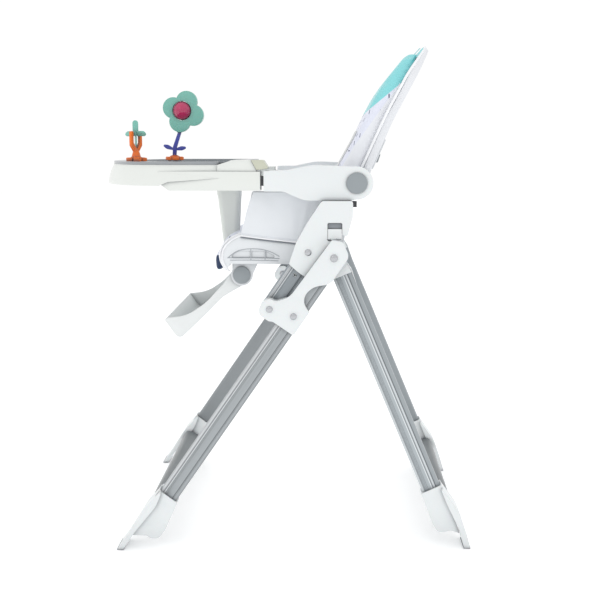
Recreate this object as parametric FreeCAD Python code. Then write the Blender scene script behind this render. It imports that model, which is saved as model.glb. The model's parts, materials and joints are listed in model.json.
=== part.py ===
import FreeCAD, Part
import math
import os

V = FreeCAD.Vector

# A folding high chair. Millimetres and degrees. +Z is up, the child faces -Y and +X is the
# child's left. The origin is on the floor, below the middle of the chair's box.

# Frame: both legs and the seat rail lie in upright planes and meet at the pivot
PIVOT_Y = 107.0
PIVOT_Z = 627.0
FRONT_LEAN = 34.3            # front leg and rail, from upright
REAR_LEAN = 22.9             # rear leg, from upright
LEG_WIDTH = 40.0
LEG_THICK = 26.0
LEG_WALL = 2.2
LEG_CORNER = 5.0
FRONT_LEG_X = 258.0          # inner face of the front leg
REAR_LEG_X = 224.0           # inner face of the rear leg
FRONT_LEG_TOP = 14.0         # above the pivot, along the leg
FOOT_GRIP = 48.0             # length of leg inside a foot
FRONT_FOOT_TOP = 143.0       # top of a foot, along its leg from the floor
REAR_FOOT_TOP = 140.0
FOOT_WALL = 4.0
SHIELD_WIDTH = 56.0          # width of the curved shield of a foot
SHIELD_TIP = 31.0            # how far the shield's tip stands out past the leg's line at the floor
SOLE_THICK = 2.5
SOLE_LONG = 15.0
BAR_WIDTH = 42.0             # cross bars between the feet
BAR_DEPTH = 30.0
BAR_HEIGHT = 70.0            # middle of a cross bar above the floor
BAR_WALL = 2.0

# Pivot between the two frames
BOLT_R = 5.0
BOLT_HEAD_R = 8.0
BOLT_HEAD = 3.2
NUT_LENGTH = 6.0
CAP_R = 17.0                 # rear leg cap around the pivot
CAP_LENGTH = 45.0            # from the pivot to the cap's lower edge
CAP_PLUG = 24.0              # length of the cap's plug inside the leg
BRACKET_WALL = 5.0

# Rivets
RIVET_R = 3.5
RIVET_HEAD_R = 7.0
RIVET_HEAD = 3.0
RIVET_LEG_U = -145.0         # through the bracket's collar and the leg
RIVET_RAIL_V = -49.0         # through the bracket's lobe and the rail
RIVET_RAIL_U = -160.5
RIVET_HOUSING_U = -21.5      # in the slide housing

# Seat rail on each side, in front of the front leg
RAIL_GAP = 2.5               # between the leg and the rail
RAIL_WIDTH = 44.5
RAIL_THICK = 24.0
RAIL_X = 240.0
RAIL_LOW = -172.0            # lower end, along the rail from the pivot's level
RAIL_HIGH = 50.0
RAIL_HOLE_R = 4.0
RAIL_HOLE_LOW = -76.5
RAIL_HOLE_STEP = 30.0
RAIL_HOLES = 4

# Seat carrier
HOUSING_X = 234.0
HOUSING_THICK = 42.0
HOUSING_TOP = 740.6
HOUSING_LOW = -65.0          # lower end, along the rail
FLAP_WIDTH = 29.0            # height release flap
FLAP_HEIGHT = 21.0
FLAP_THICK = 4.0
FLAP_Y = 108.3
FLAP_TOP = 683.0
KEY_HEIGHT = 14.0            # grey key above the flap
SEAT_HALF = 205.0            # outer face of the seat shell
SEAT_WALL = 4.0
SEAT_FLOOR = 640.0           # top of the shell's floor
SEAT_LOW = 604.0
SEAT_REAR = 140.0
SEAT_PAD = 26.0              # thickness of the seat pad
SEAT_PAD_HALF = 186.0
PANEL_THICK = 3.0

# Armrests and the recline hinge
ARM_X = 222.0
ARM_THICK = 42.0
ARM_FRONT = -36.0
ARM_LOW = 741.0
ARM_NOSE_LOW = 758.9
ARM_NOSE_HIGH = 800.3
HINGE_Y = 152.0
HINGE_Z = 776.0
HINGE_END_R = 33.0
HINGE_PIN_R = 8.0
DISC_R = 21.0
DISC_THICK = 3.0

# Backrest: chord points of its front and rear faces, at the hinge end and at the top
BACK_HALF = 184.0
BACK_TOP = 1062.0
BACK_SHELL = 15.0
BACK_CORNER_R = 105.0
BACK_REAR_LEAN = 23.7        # lower part of the rear face, from upright
BACK_REAR_Y = 184.0          # lower end of the rear face
BACK_REAR_Z = 802.0
CASE_HALF = 90.0             # recline case on the rear face
CASE_HEIGHT = 70.0
CASE_DEPTH = 8.0
HANDLE_HALF = 48.0
HANDLE_HEIGHT = 22.0
HANDLE_TRAVEL = 9.0
LUG_R = 22.0
LUG_THICK = 16.5

# Harness
WEB_WIDTH = 25.0
WEB_THICK = 2.5
WEB_SPREAD = 38.0            # from the middle to a shoulder strap
BUCKLE_HALF = 22.0

# Tray
TRAY_HALF = 268.0
TRAY_REACH = 160.0           # from the tray's widest line to its front
TRAY_MID_Y = -242.0
TRAY_REAR_DIP = 20.0         # how far the rear edge curves in
TRAY_REAR_Y = -78.0
TRAY_LOW = 770.0
TRAY_RIM = 812.0
TRAY_WALL = 4.0
TRAY_FLOOR = 790.0
TRAY_ARM_LOW = 760.5
TRAY_ARM_HIGH = 799.0
TRAY_ARM_FRONT = -250.0
TRAY_ARM_REAR = -43.0
ARM_BAR_WIDTH = 18.0         # bar of the armrest that the tray arm slides on
ARM_BAR_HEIGHT = 20.0
ARM_BAR_REACH = 155.0
WING_TOP = 822.0             # raised wing over one tray arm; its rear face slopes
WING_TOP_Y = -62.0
WING_LOW_Y = -50.0
INSERT_RIM = 818.0
INSERT_FLOOR = 797.0
INSERT_INSET = 13.0
INSERT_LIP = 37.0             # keeps the dish between the tray arms
POST_LOW = 616.0             # crotch post
POST_HALF = 20.0
TOY_STAND_R = 17.0

# Footrest
FOOTREST_Y = -89.3
FOOTREST_Z = 578.0
FOOTREST_HALF = 176.0
FOOTREST_WALL = 9.0
FOOTREST_SHEET = 4.5
EAR_R = 23.0
EAR_THICK = 12.0
EAR_GAP = 0.6
FOOT_PIN_R = 5.0
FOOT_DISC_R = 18.5
FOOT_DISC_THICK = 3.0

# Toys
FLOWER_X = -40.0
FLOWER_Y = -267.0            # middle of the base
FLOWER_HEAD_Y = -244.0
FLOWER_HEAD_Z = 929.0
LOBE_REACH = 24.0            # from the flower's middle to the middle of a lobe
LOBE_R = 24.5
LOBE_TURN = 70.0
FLOWER_THICK = 16.0
NECK_Y = -254.0
NECK_Z = 881.5
BALL_R = 21.5
BALL_Y = -247.0
BALL_Z = 931.0
BALL_PIN_R = 1.5
AXLE_R = 1.5
FORK_HALF = 16.5
FORK_THICK = 6.5
SPINNER_X = 152.0
SPINNER_Y = -317.0
SPINNER_Z = 876.0
SPINNER_TURN = 30.0
BLADE_LENGTH = 28.0

# Clearances
SOFT_GAP = 0.3
SLIDE_GAP = 0.4
PIN_GAP = 0.05
BIG = 2000.0


def save(name, shape):
    shape.exportStep("parts/" + name + ".step")


def mirrored(shape):
    return shape.mirror(V(0, 0, 0), V(1, 0, 0))


def both(shape):
    return Part.makeCompound([shape, mirrored(shape)])


def save_pair(name, shape):
    save(name + "_left", shape)
    save(name + "_right", mirrored(shape))


def rounded(corners, place):
    """A closed face. Each corner is (a, b) or (a, b, radius); place turns (a, b) into a point."""
    points = [V(c[0], c[1], 0) for c in corners]
    radii = [c[2] if len(c) > 2 else 0.0 for c in corners]
    ends = []
    for i, corner in enumerate(points):
        back = (points[i - 1] - corner).normalize()
        ahead = (points[(i + 1) % len(points)] - corner).normalize()
        if radii[i] == 0.0:
            ends.append((corner, None, corner))
            continue
        half = back.getAngle(ahead) / 2
        reach = radii[i] / math.tan(half)
        middle = (back + ahead).normalize()
        crest = corner + middle * (radii[i] / math.sin(half) - radii[i])
        ends.append((corner + back * reach, crest, corner + ahead * reach))
    edges = []
    for i, (enter, crest, leave) in enumerate(ends):
        if crest is not None:
            edges.append(Part.Arc(place(enter), place(crest), place(leave)).toShape())
        following = ends[(i + 1) % len(ends)][0]
        if (following - leave).Length > 1e-6:
            edges.append(Part.LineSegment(place(leave), place(following)).toShape())
    return Part.Face(Part.Wire(edges))


def plate(corners, x0, x1):
    """A side view outline of (y, z) corners, pushed along X."""
    return rounded(corners, lambda p: V(x0, p.x, p.y)).extrude(V(x1 - x0, 0, 0))


def slab(corners, z0, z1):
    """A plan outline of (x, y) corners, pushed along Z."""
    return rounded(corners, lambda p: V(p.x, p.y, z0)).extrude(V(0, 0, z1 - z0))


def curtain(corners, y0, y1):
    """A front view outline of (x, z) corners, pushed along Y."""
    return rounded(corners, lambda p: V(p.x, y0, p.y)).extrude(V(0, y1 - y0, 0))


def box(x0, x1, y0, y1, z0, z1):
    return Part.makeBox(x1 - x0, y1 - y0, z1 - z0, V(x0, y0, z0))


def pin(y, z, radius, x0, x1):
    return Part.makeCylinder(radius, x1 - x0, V(x0, y, z), V(1, 0, 0))


def dome(y, z, radius, height, x0):
    """A low rounded head standing on the plane x0, towards +X."""
    sphere_r = (radius * radius + height * height) / (2 * height)
    ball = Part.makeSphere(sphere_r, V(x0 + height - sphere_r, y, z))
    return ball.common(pin(y, z, radius, x0, x0 + height))


class Lean:
    """A leaning line through (y, z): v is across it, towards the rear, and u is up along it."""

    def __init__(self, degrees, y, z):
        self.sin = math.sin(math.radians(degrees))
        self.cos = math.cos(math.radians(degrees))
        self.y = y
        self.z = z
        self.ground = -z / self.cos

    def at(self, v, u):
        return (self.y + v * self.cos + u * self.sin, self.z - v * self.sin + u * self.cos)

    def corner(self, v, u, radius=0.0):
        return (*self.at(v, u), radius)

    def reach_z(self, v, z):
        """The u at which the line at v has the height z."""
        return (z - self.z + v * self.sin) / self.cos

    def point(self, x, v, u):
        y, z = self.at(v, u)
        return V(x, y, z)

    def bar(self, v0, v1, x0, x1, radius, u0, u1):
        """A rounded bar along the line."""
        corners = [(v0, x0, radius), (v1, x0, radius), (v1, x1, radius), (v0, x1, radius)]
        face = rounded(corners, lambda p: self.point(p.y, p.x, u0))
        return face.extrude(self.point(0, 0, u1) - self.point(0, 0, u0))

    def plate(self, corners, x0, x1):
        return plate([self.corner(*c) for c in corners], x0, x1)


FRONT = Lean(FRONT_LEAN, PIVOT_Y, PIVOT_Z)
REAR = Lean(-REAR_LEAN, PIVOT_Y, PIVOT_Z)
BACK_REAR = Lean(BACK_REAR_LEAN, BACK_REAR_Y, BACK_REAR_Z)
SPIN = V(math.cos(math.radians(SPINNER_TURN)), -math.sin(math.radians(SPINNER_TURN)), 0)

LEG_HALF = LEG_WIDTH / 2
FRONT_LEG_OUT = FRONT_LEG_X + LEG_THICK
REAR_LEG_OUT = REAR_LEG_X + LEG_THICK
RAIL_V1 = -LEG_HALF - RAIL_GAP
RAIL_V0 = RAIL_V1 - RAIL_WIDTH
HOUSING_OUT = HOUSING_X + HOUSING_THICK
ARM_OUT = ARM_X + ARM_THICK


# ---------------------------------------------------------------- frame

def extrusion(lean, v0, v1, x0, x1, u0, u1):
    """A hollow rounded tube with a ribbed strip by its front edge and a groove by its rear edge."""
    rib = 1.4
    depth = 0.7
    body = lean.bar(v0, v1, x0, x1, LEG_CORNER, u0, u1)
    inside = lean.bar(v0 + LEG_WALL, v1 - LEG_WALL, x0 + LEG_WALL, x1 - LEG_WALL,
                      LEG_CORNER - LEG_WALL, u0, u1)
    cuts = [inside]
    for step in range(4):
        start = v0 + LEG_CORNER + 2 * rib * step
        cuts.append(lean.bar(start, start + rib, x1 - depth, x1 + depth, 0.0, u0, u1))
    groove = v1 - LEG_CORNER - 3 * rib
    cuts.append(lean.bar(groove, groove + rib, x1 - depth, x1 + depth, 0.0, u0, u1))
    return body.cut(cuts)


def front_leg():
    foot_top = FRONT.ground + FRONT_FOOT_TOP
    leg = extrusion(FRONT, -LEG_HALF, LEG_HALF, FRONT_LEG_X, FRONT_LEG_OUT,
                    foot_top - FOOT_GRIP, FRONT_LEG_TOP)
    bolt_holes = [pin(*FRONT.at(0, 0), BOLT_R, FRONT_LEG_X, FRONT_LEG_OUT),
                  pin(*FRONT.at(0, RIVET_LEG_U), RIVET_R, FRONT_LEG_X, FRONT_LEG_OUT)]
    return leg.cut(bolt_holes)


def rear_leg():
    foot_top = REAR.ground + REAR_FOOT_TOP
    return extrusion(REAR, -LEG_HALF, LEG_HALF, REAR_LEG_X, REAR_LEG_OUT,
                     foot_top - FOOT_GRIP, -CAP_LENGTH)


def foot(lean, side, foot_top, socket_corners, shield_corners, leg_x):
    """A foot: a socket around the leg's end, and a curved shield whose tip meets the floor.
    The corner lists hold (outward, height) from the point where the leg's line meets the floor."""
    ground_y = lean.at(0, lean.ground)[0]

    def corners(listed):
        return [(ground_y + side * c[0], c[1], c[2]) for c in listed]

    top = lean.ground + foot_top
    outer_v = side * (LEG_HALF + FOOT_WALL)
    socket_top = [lean.corner(-outer_v, top - 2, 3.0), lean.corner(outer_v, top, 1.0)]
    socket = plate(socket_top + corners(socket_corners),
                   leg_x - FOOT_WALL, leg_x + LEG_THICK + FOOT_WALL)
    middle = leg_x + LEG_THICK / 2
    shield = plate([lean.corner(outer_v * 0.8, top + 8, 2.0)] + corners(shield_corners),
                   middle - SHIELD_WIDTH / 2, middle + SHIELD_WIDTH / 2)
    whole = socket.fuse(shield).cut(box(-BIG, BIG, -BIG, BIG, -BIG, SOLE_THICK))
    pocket = lean.bar(-LEG_HALF, LEG_HALF, leg_x, leg_x + LEG_THICK, LEG_CORNER,
                      top - FOOT_GRIP, top + LEG_WIDTH)
    return whole.cut(pocket).removeSplitter()


def front_foot():
    socket = [(4.0, 29.5, 0.0), (-31.0, 29.5, 6.0), (-40.0, 23.0, 8.0), (-58.0, 23.0, 14.0),
              (-72.0, 42.0, 20.0)]
    shield = [(-31.0, 95.0, 90.0), (SHIELD_TIP - 19, 26.0, 60.0), (SHIELD_TIP, 0.0, 0.0),
              (SHIELD_TIP - 13, 0.0, 0.0), (-8.0, 40.0, 60.0), (-56.0, 100.0, 60.0)]
    return foot(FRONT, -1, FRONT_FOOT_TOP, socket, shield, FRONT_LEG_X)


def rear_foot():
    socket = [(8.0, 31.0, 0.0), (-10.0, 35.5, 20.0), (-38.0, 31.0, 12.0), (-50.0, 50.0, 20.0)]
    shield = [(4.0, 84.0, 90.0), (SHIELD_TIP - 10, 35.0, 60.0), (SHIELD_TIP, 0.0, 0.0),
              (SHIELD_TIP - 13, 0.0, 0.0), (5.0, 45.0, 60.0), (-22.0, 100.0, 60.0)]
    return foot(REAR, 1, REAR_FOOT_TOP, socket, shield, REAR_LEG_X)


def sole_pads(lean, side, leg_x):
    """Rubber pads under the shields' tips."""
    tip = lean.at(0, lean.ground)[0] + side * SHIELD_TIP
    rear = tip - side * SOLE_LONG
    middle = leg_x + LEG_THICK / 2
    half = SHIELD_WIDTH / 2 - 1
    return both(box(middle - half, middle + half, min(tip, rear), max(tip, rear), 0, SOLE_THICK))


def cross_bar(lean, v_middle, half_length, one_foot):
    """A tube between the two feet, shaped to their inner faces."""
    u = lean.reach_z(v_middle, BAR_HEIGHT)
    corner = 8.0

    def section(inset):
        v = BAR_WIDTH / 2 - inset
        d = BAR_DEPTH / 2 - inset
        radius = corner - inset
        return lean.plate([(v_middle - v, u - d, radius), (v_middle + v, u - d, radius),
                           (v_middle + v, u + d, radius), (v_middle - v, u + d, radius)],
                          -half_length, half_length)
    return section(0).cut([section(BAR_WALL), one_foot, mirrored(one_foot)])


def bracket_outline():
    """The bracket's side view, along the front leg: lobe for the rail, collar, waist and arm."""
    arm = LEG_HALF + 4
    return [(RAIL_V0 - 3, -182.0, 16.0), (RAIL_V1 - 14, -182.0, 8.0), (RAIL_V1 - 6, -178.0, 5.0),
            (LEG_HALF + 2, -178.0, 5.0), (LEG_HALF + 2, -120.0, 3.0), (-8.0, -107.0, 26.0),
            (-2.0, -72.0, 40.0), (arm, -48.0, 26.0), (arm, 20.0, 18.0), (-4.0, 37.0, 12.0),
            (-arm, 28.0, 6.0), (-arm - 5, -118.0, 40.0), (-48.0, -141.0, 12.0),
            (RAIL_V0 + 2, -141.0, 14.0)]


def hinge_bracket():
    """White casing that joins the rail's lower end, the front leg and the pivot."""
    outer = bracket_outline()
    face_x = FRONT_LEG_OUT + BRACKET_WALL
    arm = FRONT.plate(outer, FRONT_LEG_OUT, face_x)
    collar_zone = FRONT.bar(RAIL_V0 - 20, LEG_HALF + 20, HOUSING_X - 10, face_x, 0.0, -200.0, -122.0)
    collar = FRONT.plate(outer, FRONT_LEG_X - 4, FRONT_LEG_OUT).common(collar_zone)
    lobe_zone = FRONT.bar(RAIL_V0 - 20, RAIL_V1 + 1, HOUSING_X - 10, face_x, 0.0, -200.0, -122.0)
    lobe = FRONT.plate(outer, RAIL_X - 4, FRONT_LEG_X - 4).common(lobe_zone)
    pocket_leg = FRONT.bar(-LEG_HALF, LEG_HALF, FRONT_LEG_X, FRONT_LEG_OUT, LEG_CORNER, -300.0, 100.0)
    pocket_rail = FRONT.bar(RAIL_V0, RAIL_V1, RAIL_X, RAIL_X + RAIL_THICK, LEG_CORNER,
                            RAIL_LOW, 100.0)
    holes = [pin(*FRONT.at(0, 0), BOLT_R, 0, BIG),
             pin(*FRONT.at(0, RIVET_LEG_U), RIVET_R, 0, BIG),
             pin(*FRONT.at(RIVET_RAIL_V, RIVET_RAIL_U), RIVET_R, 0, BIG)]
    return arm.fuse([collar, lobe]).cut([pocket_leg, pocket_rail] + holes).removeSplitter()


def rivet(y, z, x0, x1):
    shank = pin(y, z, RIVET_R, x0, x1)
    heads = [dome(y, z, RIVET_HEAD_R, RIVET_HEAD, x1),
             pin(y, z, RIVET_HEAD_R, x0 - 1.5, x0)]
    return shank.fuse(heads)


def frame_rivets():
    face_x = FRONT_LEG_OUT + BRACKET_WALL
    leg = rivet(*FRONT.at(0, RIVET_LEG_U), FRONT_LEG_X - 4, face_x)
    rail = rivet(*FRONT.at(RIVET_RAIL_V, RIVET_RAIL_U), RAIL_X - 4, face_x)
    return Part.makeCompound([leg, rail, mirrored(leg), mirrored(rail)])


def pivot_bolt():
    """Bolt through the bracket, the front leg, the spacer and the rear leg's cap, with its nut."""
    y, z = FRONT.at(0, 0)
    face_x = FRONT_LEG_OUT + BRACKET_WALL
    nut_x = REAR_LEG_X - 0.5
    shank = pin(y, z, BOLT_R, nut_x - NUT_LENGTH, face_x)
    head = dome(y, z, BOLT_HEAD_R, BOLT_HEAD, face_x)
    nut = pin(y, z, BOLT_HEAD_R, nut_x - NUT_LENGTH, nut_x)
    return shank.fuse([head, nut])


def pivot_spacer():
    y, z = FRONT.at(0, 0)
    ring = pin(y, z, 12.0, REAR_LEG_OUT + SOFT_GAP, FRONT_LEG_X)
    return ring.cut(pin(y, z, BOLT_R, 0, BIG))


def rear_cap():
    """Plug in the rear leg's top, with the pivot's eye and a tongue down the leg's rear edge."""
    y, z = REAR.at(0, 0)
    body = REAR.plate([(-LEG_HALF, -CAP_LENGTH), (LEG_HALF, -CAP_LENGTH),
                       (CAP_R, 0.0), (-CAP_R, 0.0)], REAR_LEG_X, REAR_LEG_OUT)
    eye = pin(y, z, CAP_R, REAR_LEG_X, REAR_LEG_OUT)
    tongue = REAR.plate([(LEG_HALF, -CAP_LENGTH - 32), (LEG_HALF + 3, -CAP_LENGTH + 4),
                         (LEG_HALF - 1, -CAP_LENGTH + 22), (LEG_HALF - 1, -CAP_LENGTH),
                         (LEG_HALF, -CAP_LENGTH)],
                        REAR_LEG_X + 4, REAR_LEG_OUT - 4)
    plug = REAR.bar(-LEG_HALF + LEG_WALL, LEG_HALF - LEG_WALL, REAR_LEG_X + LEG_WALL,
                    REAR_LEG_OUT - LEG_WALL, LEG_CORNER - LEG_WALL,
                    -CAP_LENGTH - CAP_PLUG, -CAP_LENGTH + 1)
    bore = pin(y, z, BOLT_R + PIN_GAP, 0, BIG)
    return body.fuse([eye, tongue, plug]).cut(bore).removeSplitter()


def seat_rail():
    rail = extrusion(FRONT, RAIL_V0, RAIL_V1, RAIL_X, RAIL_X + RAIL_THICK, RAIL_LOW, RAIL_HIGH)
    middle = (RAIL_V0 + RAIL_V1) / 2
    holes = [pin(*FRONT.at(middle, RAIL_HOLE_LOW + RAIL_HOLE_STEP * i), RAIL_HOLE_R,
                 RAIL_X + RAIL_THICK / 2, BIG) for i in range(RAIL_HOLES)]
    rivet_hole = pin(*FRONT.at(RIVET_RAIL_V, RIVET_RAIL_U), RIVET_R, 0, BIG)
    return rail.cut(holes + [rivet_hole])


# ---------------------------------------------------------------- seat carrier

def housing_outline():
    """Side view of the slide housing, along the rail; its top is level."""
    top_front = FRONT.reach_z(-85.0, HOUSING_TOP)
    top_rear = FRONT.reach_z(-33.0, HOUSING_TOP)
    return [(RAIL_V0 - 0.8, HOUSING_LOW + 2, 3.0), (RAIL_V0 + 22, HOUSING_LOW - 1, 40.0),
            (RAIL_V1 + 0.1, HOUSING_LOW - 1.5, 2.0), (RAIL_V1 + 0.1, 46.0, 3.0),
            (-1.5, 49.0, 5.0), (-15.0, 88.0, 12.0), (-33.0, top_rear, 5.0),
            (-85.0, top_front, 8.0), (-84.0, 25.0, 60.0), (-80.0, -20.0, 60.0)]


def slide_housing():
    """Moulded housing that slides on the rail and carries the seat on one side."""
    body = FRONT.plate(housing_outline(), HOUSING_X, HOUSING_OUT)
    gap = SLIDE_GAP
    channel = FRONT.bar(RAIL_V0 - gap, RAIL_V1 + gap, RAIL_X - gap, RAIL_X + RAIL_THICK + gap,
                        LEG_CORNER, HOUSING_LOW - 20, RAIL_HIGH + RAIL_HOLE_STEP + 4)
    half = FLAP_WIDTH / 2 + SLIDE_GAP
    window = plate([(FLAP_Y - half, FLAP_TOP - FLAP_HEIGHT - 2, 3.0),
                    (FLAP_Y + half, FLAP_TOP - FLAP_HEIGHT - 2, 3.0),
                    (FLAP_Y + half, FLAP_TOP + KEY_HEIGHT, 3.0),
                    (FLAP_Y - half, FLAP_TOP + KEY_HEIGHT, 3.0)],
                   HOUSING_OUT - FLAP_THICK - 3, HOUSING_OUT + 1)
    rivet_hole = pin(*FRONT.at(RIVET_RAIL_V, RIVET_HOUSING_U), RIVET_R, HOUSING_OUT - 10, BIG)
    return body.cut([channel, window, rivet_hole]).removeSplitter()


def housing_rivet():
    y, z = FRONT.at(RIVET_RAIL_V, RIVET_HOUSING_U)
    return pin(y, z, RIVET_R, HOUSING_OUT - 10, HOUSING_OUT).fuse(
        dome(y, z, RIVET_HEAD_R, RIVET_HEAD, HOUSING_OUT))


def height_key():
    """Grey key behind the window, above the flap."""
    half = FLAP_WIDTH / 2
    return plate([(FLAP_Y - half, FLAP_TOP + 2.5, 1.0), (FLAP_Y + half, FLAP_TOP + 2.5, 1.0),
                  (FLAP_Y + half, FLAP_TOP + KEY_HEIGHT - SLIDE_GAP, 2.5),
                  (FLAP_Y - half, FLAP_TOP + KEY_HEIGHT - SLIDE_GAP, 2.5)],
                 HOUSING_OUT - FLAP_THICK - 3, HOUSING_OUT - 3)


def height_flap():
    """Flap that hinges at its top edge: its lower edge is pulled out to free the height latch."""
    half = FLAP_WIDTH / 2 - 0.2
    barrel = FLAP_THICK / 2
    hinge_x = HOUSING_OUT - barrel - 0.2
    low = FLAP_TOP - FLAP_HEIGHT
    leaf = plate([(FLAP_Y - half, low, 3.0), (FLAP_Y - half / 3, low, 3.0), (FLAP_Y, low + 2, 4.0),
                  (FLAP_Y + half / 3, low, 3.0), (FLAP_Y + half, low, 3.0),
                  (FLAP_Y + half, FLAP_TOP, 0.0), (FLAP_Y - half, FLAP_TOP, 0.0)],
                 hinge_x - barrel, hinge_x + barrel)
    roll = Part.makeCylinder(barrel, 2 * half, V(hinge_x, FLAP_Y - half, FLAP_TOP), V(0, 1, 0))
    return leaf.fuse(roll).removeSplitter()


def seat_outline():
    """Side view of the seat shell."""
    return [(-64.0, 757.0, 4.0), (-79.0, 700.0, 60.0), (-91.0, 662.0, 10.0), (-124.0, 642.0, 16.0),
            (-130.0, 612.0, 12.0), (-119.0, 590.0, 5.0), (-112.0, SEAT_LOW, 3.0),
            (60.0, SEAT_LOW, 6.0), (78.0, 628.0, 20.0), (SEAT_REAR - 14, 640.0, 24.0),
            (SEAT_REAR, 735.0, 3.0), (40.0, 740.0, 10.0), (20.0, 748.0, 20.0), (0.0, 757.0, 10.0)]


def housing_boss(gap):
    """Boss of the seat shell that a housing bolts to."""
    return FRONT.plate([(-78.0 - gap, -10.0 - gap, 6.0), (-30.0 + gap, -10.0 - gap, 6.0),
                        (-30.0 + gap, 80.0 + gap, 6.0), (-78.0 - gap, 70.0 + gap, 6.0)],
                       SEAT_HALF - SEAT_WALL, HOUSING_X)


def seat_shell():
    """Moulded bucket with its floor, hollow underneath, with bosses for the housings and ears
    for the footrest."""
    half = SEAT_HALF
    wall = SEAT_WALL
    body = plate(seat_outline(), -half, half)
    bucket = plate([(-140.0, SEAT_FLOOR + 24), (-100.0, SEAT_FLOOR, 12.0),
                    (SEAT_REAR - 24, SEAT_FLOOR, 20.0), (SEAT_REAR - 6, 790.0, 0.0),
                    (-140.0, 790.0, 0.0)], -half + wall, half - wall)
    under = plate([(-112.0, SEAT_FLOOR - wall, 10.0), (-118.0, 612.0, 8.0), (-108.0, 580.0, 0.0),
                   (100.0, 580.0, 0.0), (90.0, SEAT_FLOOR - wall, 10.0)],
                  -half + wall, half - wall)
    notch = box(-POST_HALF - 8, POST_HALF + 8, -BIG, -102.0, 0, BIG)
    arch = plate([(-116.0, 616.0, 4.0), (-96.0, 632.0, 14.0), (-36.0, 632.0, 30.0),
                  (-6.0, 616.0, 4.0)], half - 2.0, half + 1)
    ribs = [plate([(y - 1.5, 610.0), (y + 1.5, 610.0), (y + 1.5, 640.0), (y - 1.5, 640.0)],
                  half - 3.0, half) for y in (-68.0, -38.0)]
    recess = arch.cut(ribs)
    boss = housing_boss(0.0)
    ear_x = FOOTREST_HALF + EAR_GAP
    ear = pin(FOOTREST_Y, FOOTREST_Z, EAR_R, ear_x, ear_x + EAR_THICK)
    web = plate([(FOOTREST_Y - EAR_R + 3, FOOTREST_Z + 6), (FOOTREST_Y + EAR_R, FOOTREST_Z),
                 (FOOTREST_Y + EAR_R + 14, SEAT_LOW + 6), (FOOTREST_Y + EAR_R + 14, SEAT_FLOOR - 2),
                 (FOOTREST_Y - EAR_R + 3, SEAT_FLOOR - 2)], ear_x, ear_x + EAR_THICK)
    ear_hole = pin(FOOTREST_Y, FOOTREST_Z, FOOT_PIN_R, 0, BIG)
    side = ear.fuse(web).cut(ear_hole).fuse(boss)
    shell = body.cut([bucket, under, notch, recess, mirrored(recess)])
    return shell.fuse([side, mirrored(side)]).removeSplitter()


def side_panel():
    """Fabric panel between the armrest and the shell, on the shell's side."""
    x0 = SEAT_HALF + SOFT_GAP
    panel = plate([(-62.0, 755.0, 3.0), (-77.0, 700.0, 60.0), (-89.0, 664.0, 6.0),
                  (33.0, 650.0, 4.0), (43.0, 664.0, 20.0), (84.0, 738.0, 4.0), (41.0, 741.0, 10.0),
                  (21.0, 749.0, 20.0), (1.0, 755.0, 10.0)], x0, x0 + PANEL_THICK)
    return panel.cut(housing_boss(SOFT_GAP))


def seat_pad():
    """Padded cushion with its front roll over the shell's lip, slotted for the crotch post."""
    low = SEAT_FLOOR + SOFT_GAP
    top = SEAT_FLOOR + SEAT_PAD
    cushion = plate([(-98.0, low, 6.0), (106.0, low, 12.0), (110.0, top, 12.0), (-88.0, top, 12.0),
                     (-132.0, 652.0, 14.0), (-152.0, 610.0, 14.0), (-148.0, 579.0, 5.0),
                     (-134.0, 576.0, 5.0), (-131.0, 592.0, 4.0), (-131.0, 612.0, 10.0),
                     (-125.0, 643.0, 12.0)], -SEAT_PAD_HALF, SEAT_PAD_HALF)
    clear = SOFT_GAP
    lip = plate(seat_outline(), -BIG, BIG)
    bucket = plate([(-141.0, SEAT_FLOOR + 24 + clear), (-100.0, SEAT_FLOOR + clear, 12.0),
                    (SEAT_REAR - 24, SEAT_FLOOR + clear, 20.0), (SEAT_REAR - 6, 790.0, 0.0),
                    (-141.0, 790.0, 0.0)], -BIG, BIG)
    solid_shell = lip.cut(bucket)
    narrow = 150.0
    front = box(narrow, BIG, -BIG, -112.0, 0, BIG)
    slot = box(-POST_HALF - 9, POST_HALF + 9, -BIG, -98.0, 0, BIG)
    return cushion.cut([solid_shell, slot, front, mirrored(front)]).Solids


def armrest():
    """Armrest with the recline hinge's round end."""
    end = HINGE_END_R
    body = plate([(ARM_FRONT, ARM_NOSE_LOW, 2.0), (4.0, ARM_NOSE_LOW, 30.0), (46.0, ARM_LOW, 60.0),
                  (HINGE_Y - 10, ARM_LOW + 0.6, 10.0), (HINGE_Y + 4, HINGE_Z - end + 1, 4.0),
                  (HINGE_Y + 4, HINGE_Z + end - 1, 4.0), (62.0, 812.0, 120.0),
                  (8.0, ARM_NOSE_HIGH + 0.6, 60.0), (ARM_FRONT, ARM_NOSE_HIGH, 2.0)],
                 ARM_X, ARM_OUT)
    round_end = pin(HINGE_Y, HINGE_Z, end, ARM_X, ARM_OUT)
    hole = pin(HINGE_Y, HINGE_Z, HINGE_PIN_R, 0, BIG)
    return body.fuse(round_end).cut(hole).removeSplitter()


def recline_pin():
    """Hinge pin with its grey disc on the armrest's outer face."""
    shank = pin(HINGE_Y, HINGE_Z, HINGE_PIN_R, ARM_X - LUG_THICK - 4, ARM_OUT)
    disc = pin(HINGE_Y, HINGE_Z, DISC_R, ARM_OUT, ARM_OUT + DISC_THICK)
    return shank.fuse(disc)


def arm_bar():
    """Dark bar of the armrest that the tray's arm slides on."""
    middle = ARM_X + ARM_THICK / 2
    z = (TRAY_ARM_LOW + TRAY_ARM_HIGH) / 2
    half = ARM_BAR_WIDTH / 2
    tall = ARM_BAR_HEIGHT / 2
    corners = [(middle - half, z - tall, 3.0), (middle + half, z - tall, 3.0),
               (middle + half, z + tall, 3.0), (middle - half, z + tall, 3.0)]
    return curtain(corners, ARM_FRONT - ARM_BAR_REACH, ARM_FRONT)


# ---------------------------------------------------------------- backrest

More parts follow.
